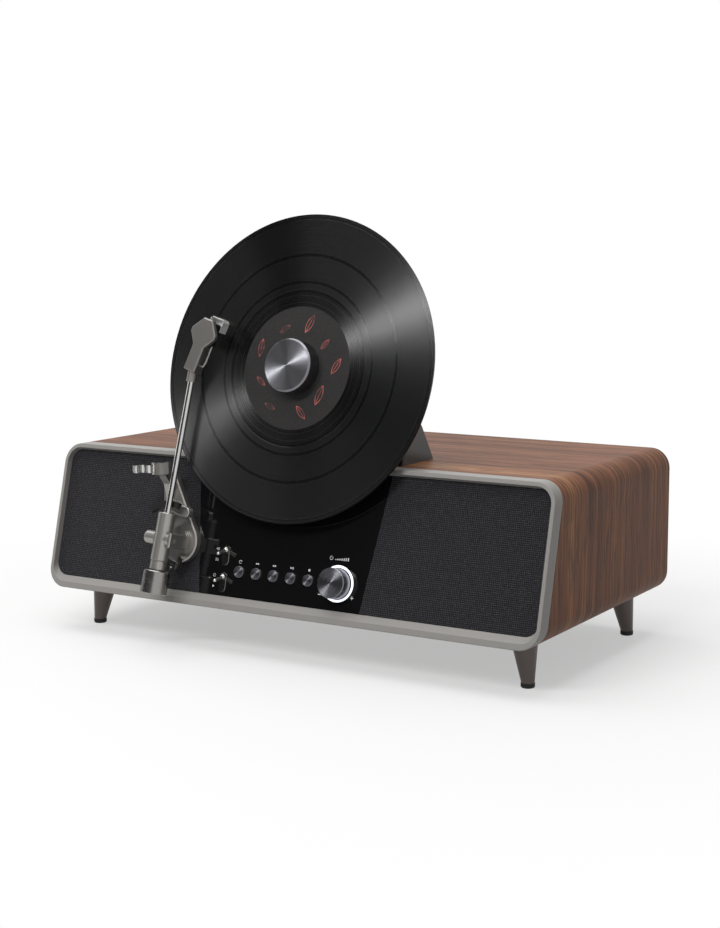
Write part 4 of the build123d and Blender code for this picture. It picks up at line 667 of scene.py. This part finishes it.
# One leaf: a thin band bent into an outline with pointed ends, and a rib along its middle.
sheet = {"Size X": 1.0, "Size Y": 1.0, "Vertices X": 2, "Vertices Y": 33}
grid = add_node(tree, "GeometryNodeMeshGrid", sheet)
here = add_node(tree, "GeometryNodeInputPosition")
axes = add_node(tree, "ShaderNodeSeparateXYZ", {0: here}).node.outputs
round_trip = {0: axes["Y"], 1: math.tau, 2: math.pi}
turn = add_node(tree, "ShaderNodeMath", round_trip, operation="MULTIPLY_ADD")
band = {0: axes["X"], 1: given["Line"], 2: 1.0}
scale = add_node(tree, "ShaderNodeMath", band, operation="MULTIPLY_ADD")
along = add_node(tree, "ShaderNodeMath", {0: turn}, operation="COSINE")
along = add_node(tree, "ShaderNodeMath", {0: along, 1: given["Leaf length"]}, operation="MULTIPLY")
side = add_node(tree, "ShaderNodeMath", {0: turn}, operation="SINE")
bulge = add_node(tree, "ShaderNodeMath", {0: side}, operation="ABSOLUTE")
side = add_node(tree, "ShaderNodeMath", {0: side, 1: bulge}, operation="MULTIPLY")
side = add_node(tree, "ShaderNodeMath", {0: side, 1: given["Leaf width"]}, operation="MULTIPLY")
along = add_node(tree, "ShaderNodeMath", {0: along, 1: scale}, operation="MULTIPLY")
side = add_node(tree, "ShaderNodeMath", {0: side, 1: scale}, operation="MULTIPLY")
spot = add_node(tree, "ShaderNodeCombineXYZ", {"X": along, "Y": side})
leaf = add_node(tree, "GeometryNodeSetPosition", {"Geometry": grid, "Position": spot})
leaf = add_node(tree, "GeometryNodeMergeByDistance", {"Geometry": leaf, "Distance": same_place})
rib = {"Size X": 0.016, "Size Y": 0.0005, "Vertices X": 9, "Vertices Y": 2}
rib = add_node(tree, "GeometryNodeMeshGrid", rib)
leaf = add_node(tree, "GeometryNodeJoinGeometry", {0: leaf})
tree.links.new(rib, leaf.node.inputs[0])

# The leaves stand in a ring, each a little out of place and turned and sized by chance.
ring = {"Vertices": given["Leaves"], "Radius": given["Ring"]}
ring = add_node(tree, "GeometryNodeMeshCircle", ring)
roam = {"Min": (-0.004, -0.004, 0), "Max": (0.004, 0.004, 0), "Seed": given["Seed"]}
roam = add_node(tree, "FunctionNodeRandomValue", roam, data_type="FLOAT_VECTOR")
ring = add_node(tree, "GeometryNodeSetPosition", {"Geometry": ring, "Offset": roam})
twist = {"Min": (0, 0, 0), "Max": (0, 0, math.tau), "Seed": given["Seed"]}
twist = add_node(tree, "FunctionNodeRandomValue", twist, data_type="FLOAT_VECTOR")
growth = add_node(tree, "FunctionNodeRandomValue", {2: 0.6, 3: 1.05, "Seed": given["Seed"]})
growth = growth.node.outputs[1]
sprigs = {"Points": ring, "Instance": leaf, "Rotation": twist, "Scale": growth}
sprigs = add_node(tree, "GeometryNodeInstanceOnPoints", sprigs)
mesh = grow_mesh(tree, sprigs, red_ink, sizes)
mesh.transform(front_frame(0, record_s, label_top))
keep_piece("label_sprigs", mesh, "turntable")

# Clamp knob.
# A heavy puck of turned aluminium, anodised dark grey, that pushes down over the spindle and
# holds the record on the platter. Its face is spun and its edge is cut bright.
clamp_finish = spin_finish("spun_aluminium_clamp", "85858a", 0.34, 0, record_s)
set_finish(["clamp_knob"], clamp_finish)

# Tonearm.
# Diecast parts in warm grey paint, the headshell painted a shade darker as painted shade, a
# plated tube, a dark plated counterweight, and a black cartridge with its white guard on. The
# drum turns on a pin in the foot, and the housing rocks on a pin in the drum's upright.

# A smooth satin coat with some metal in it, soft on the flats and bright on the edges.
arm_paint = grained_finish("satin_warm_grey_diecast", "a19e9a", 0.32, grain_mm=0.9,
                           depth_mm=0.006, low=0.3, high=0.35, metallic=0.7)
set_finish(["tonearm_base", "arm_yoke", "arm_housing", "arm_rest", "cue_lever", "finger_lift"],
           arm_paint)
# The same coat, flatter, with painted shade: its grey is darker than the arm's, so the headshell's
# face renders darker.
shaded_head_paint = grained_finish("satin_grey_diecast_painted_shade", "7f7c79", 0.38, grain_mm=0.6,
                            depth_mm=0.02, low=0.34, high=0.44, metallic=0.7)
set_finish(["headshell"], shaded_head_paint)
set_finish(["arm_tube", "arm_clip", "anti_skate_arm"], nickel)
# A smooth plate that mirrors softly, in a darker grey.
dark_nickel = grained_finish("dark_nickel_plate", "8f8d8a", 0.26, grain_mm=6.0, depth_mm=0.001,
                             low=0.25, high=0.29, relief=0.1, metallic=1.0)
set_finish(["counterweight"], dark_nickel)
# Black plastic with the low gloss of a fine mould.
nylon = grained_finish("black_moulded_nylon", "181818", 0.4, grain_mm=0.6, depth_mm=0.03,
                       low=0.34, high=0.48)
set_finish(["lift_rail", "cartridge"], nylon)
# Hard glossy white.
guard = grained_finish("moulded_white_polystyrene", "e4e4e1", 0.3, grain_mm=1.0, depth_mm=0.02,
                       low=0.25, high=0.36)
set_finish(["stylus_guard"], guard)

# Rear cover, its screws and sockets.
# A moulded plastic cover that closes the sleeve's back. Six domed, plated, cross-head screws
# hold it to blocks in the sleeve, and the sockets stand in its holes.
set_finish(["rear_cover", "audio_sockets", "power_inlet"], abs_black)
low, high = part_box("cover_screws")
head, dome = 0.0034, 0.00175
sizes = {"Head": head, "Dome": dome, "Shank": 0.00175, "Length": high[1] - low[1] - dome,
         "Slot": 0.0038, "Across": high[0] - low[0] - 2 * head, "Up": high[2] - low[2] - 2 * head}
tree, given = new_tree("cover_screw_set", sizes)

# One screw: a sheet of nine rings, wrapped round and drawn to the screw's outline.
sheet = {"Size X": 1.0, "Size Y": 1.0, "Vertices X": 9, "Vertices Y": 33}
grid = add_node(tree, "GeometryNodeMeshGrid", sheet)
here = add_node(tree, "GeometryNodeInputPosition")
axes = add_node(tree, "ShaderNodeSeparateXYZ", {0: here}).node.outputs
round_trip = {0: axes["Y"], 1: math.tau, 2: math.pi}
turn = add_node(tree, "ShaderNodeMath", round_trip, operation="MULTIPLY_ADD")
ring = add_node(tree, "ShaderNodeMath", {0: axes["X"], 1: 8.0, 2: 4.0}, operation="MULTIPLY_ADD")
ring = add_node(tree, "ShaderNodeMath", {0: ring}, operation="ROUND")
outline = (
    ("Head", 0.0, "Dome", -1.0), ("Head", 0.55, "Dome", -0.96), ("Head", 0.86, "Dome", -0.74),
    ("Head", 1.0, "Dome", -0.35), ("Head", 1.0, "Dome", 0.0), ("Shank", 1.0, "Dome", 0.0),
    ("Shank", 1.0, "Length", 0.92), ("Shank", 0.6, "Length", 1.0), ("Shank", 0.0, "Length", 1.0),
)
reach = add_node(tree, "GeometryNodeIndexSwitch", {0: ring}, data_type="FLOAT").node
rise = add_node(tree, "GeometryNodeIndexSwitch", {0: ring}, data_type="FLOAT").node
for place, (wide, wide_share, tall, tall_share) in enumerate(outline):
    for switch, label, value in ((reach, wide, wide_share), (rise, tall, tall_share)):
        if place > 1:
            switch.index_switch_items.new()
        part_of = {0: given[label], 1: value}
        scaled = add_node(tree, "ShaderNodeMath", part_of, operation="MULTIPLY")
        tree.links.new(scaled, switch.inputs[place + 1])
across = add_node(tree, "ShaderNodeMath", {0: turn}, operation="COSINE")
across = add_node(tree, "ShaderNodeMath", {0: across, 1: reach.outputs[0]}, operation="MULTIPLY")
up = add_node(tree, "ShaderNodeMath", {0: turn}, operation="SINE")
up = add_node(tree, "ShaderNodeMath", {0: up, 1: reach.outputs[0]}, operation="MULTIPLY")
spot = add_node(tree, "ShaderNodeCombineXYZ", {"X": across, "Y": up, "Z": rise.outputs[0]})
screw = add_node(tree, "GeometryNodeSetPosition", {"Geometry": grid, "Position": spot})
screw = add_node(tree, "GeometryNodeMergeByDistance", {"Geometry": screw, "Distance": same_place})

# The cross in its head: two slots, a quarter as wide as they are long.
narrow = add_node(tree, "ShaderNodeMath", {0: given["Slot"], 1: 0.24}, operation="MULTIPLY")
crown = add_node(tree, "ShaderNodeMath", {0: given["Dome"], 1: -1.0}, operation="MULTIPLY")
crown = add_node(tree, "ShaderNodeCombineXYZ", {"Z": crown})
for wide, tall in ((given["Slot"], narrow), (narrow, given["Slot"])):
    size = add_node(tree, "ShaderNodeCombineXYZ", {"X": wide, "Y": tall, "Z": given["Dome"]})
    slot = add_node(tree, "GeometryNodeMeshCube", {"Size": size})
    slot = add_node(tree, "GeometryNodeTransform", {"Geometry": slot, "Translation": crown})
    cut = {"Mesh 1": screw, "Mesh 2": slot}
    screw = add_node(tree, "GeometryNodeMeshBoolean", cut, operation="DIFFERENCE")

# Three across and two up, each stopped at its own turn.
places = {"Size X": given["Across"], "Size Y": given["Up"], "Vertices X": 3, "Vertices Y": 2}
places = add_node(tree, "GeometryNodeMeshGrid", places)
twist = {"Min": (0, 0, 0), "Max": (0, 0, math.pi), "Seed": 3}
twist = add_node(tree, "FunctionNodeRandomValue", twist, data_type="FLOAT_VECTOR")
screws = {"Points": places, "Instance": screw, "Rotation": twist}
screws = add_node(tree, "GeometryNodeInstanceOnPoints", screws)
mesh = grow_mesh(tree, screws, nickel, sizes)
turn = Matrix.Rotation(math.radians(90), 4, "X")
turn.translation = Vector(((low[0] + high[0]) / 2, high[1] - dome, (low[2] + high[2]) / 2))
mesh.transform(turn)
piece = keep_piece("cover_screw_heads", mesh, "cabinet")
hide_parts("cover_screws")

# Legs.
# Four turned steel cones, splayed a little, each with a stud up into the sleeve's floor and a
# rubber pad under it.

# A dark brown-grey paint, with enough metal in it to show one soft line down each cone.
leg_paint = grained_finish("sprayed_dark_bronze_paint", "5d5550", 0.38, grain_mm=0.5,
                           depth_mm=0.02, low=0.32, high=0.45, metallic=0.4)
set_finish([name for name in parts if name.startswith("leg_")], leg_paint)
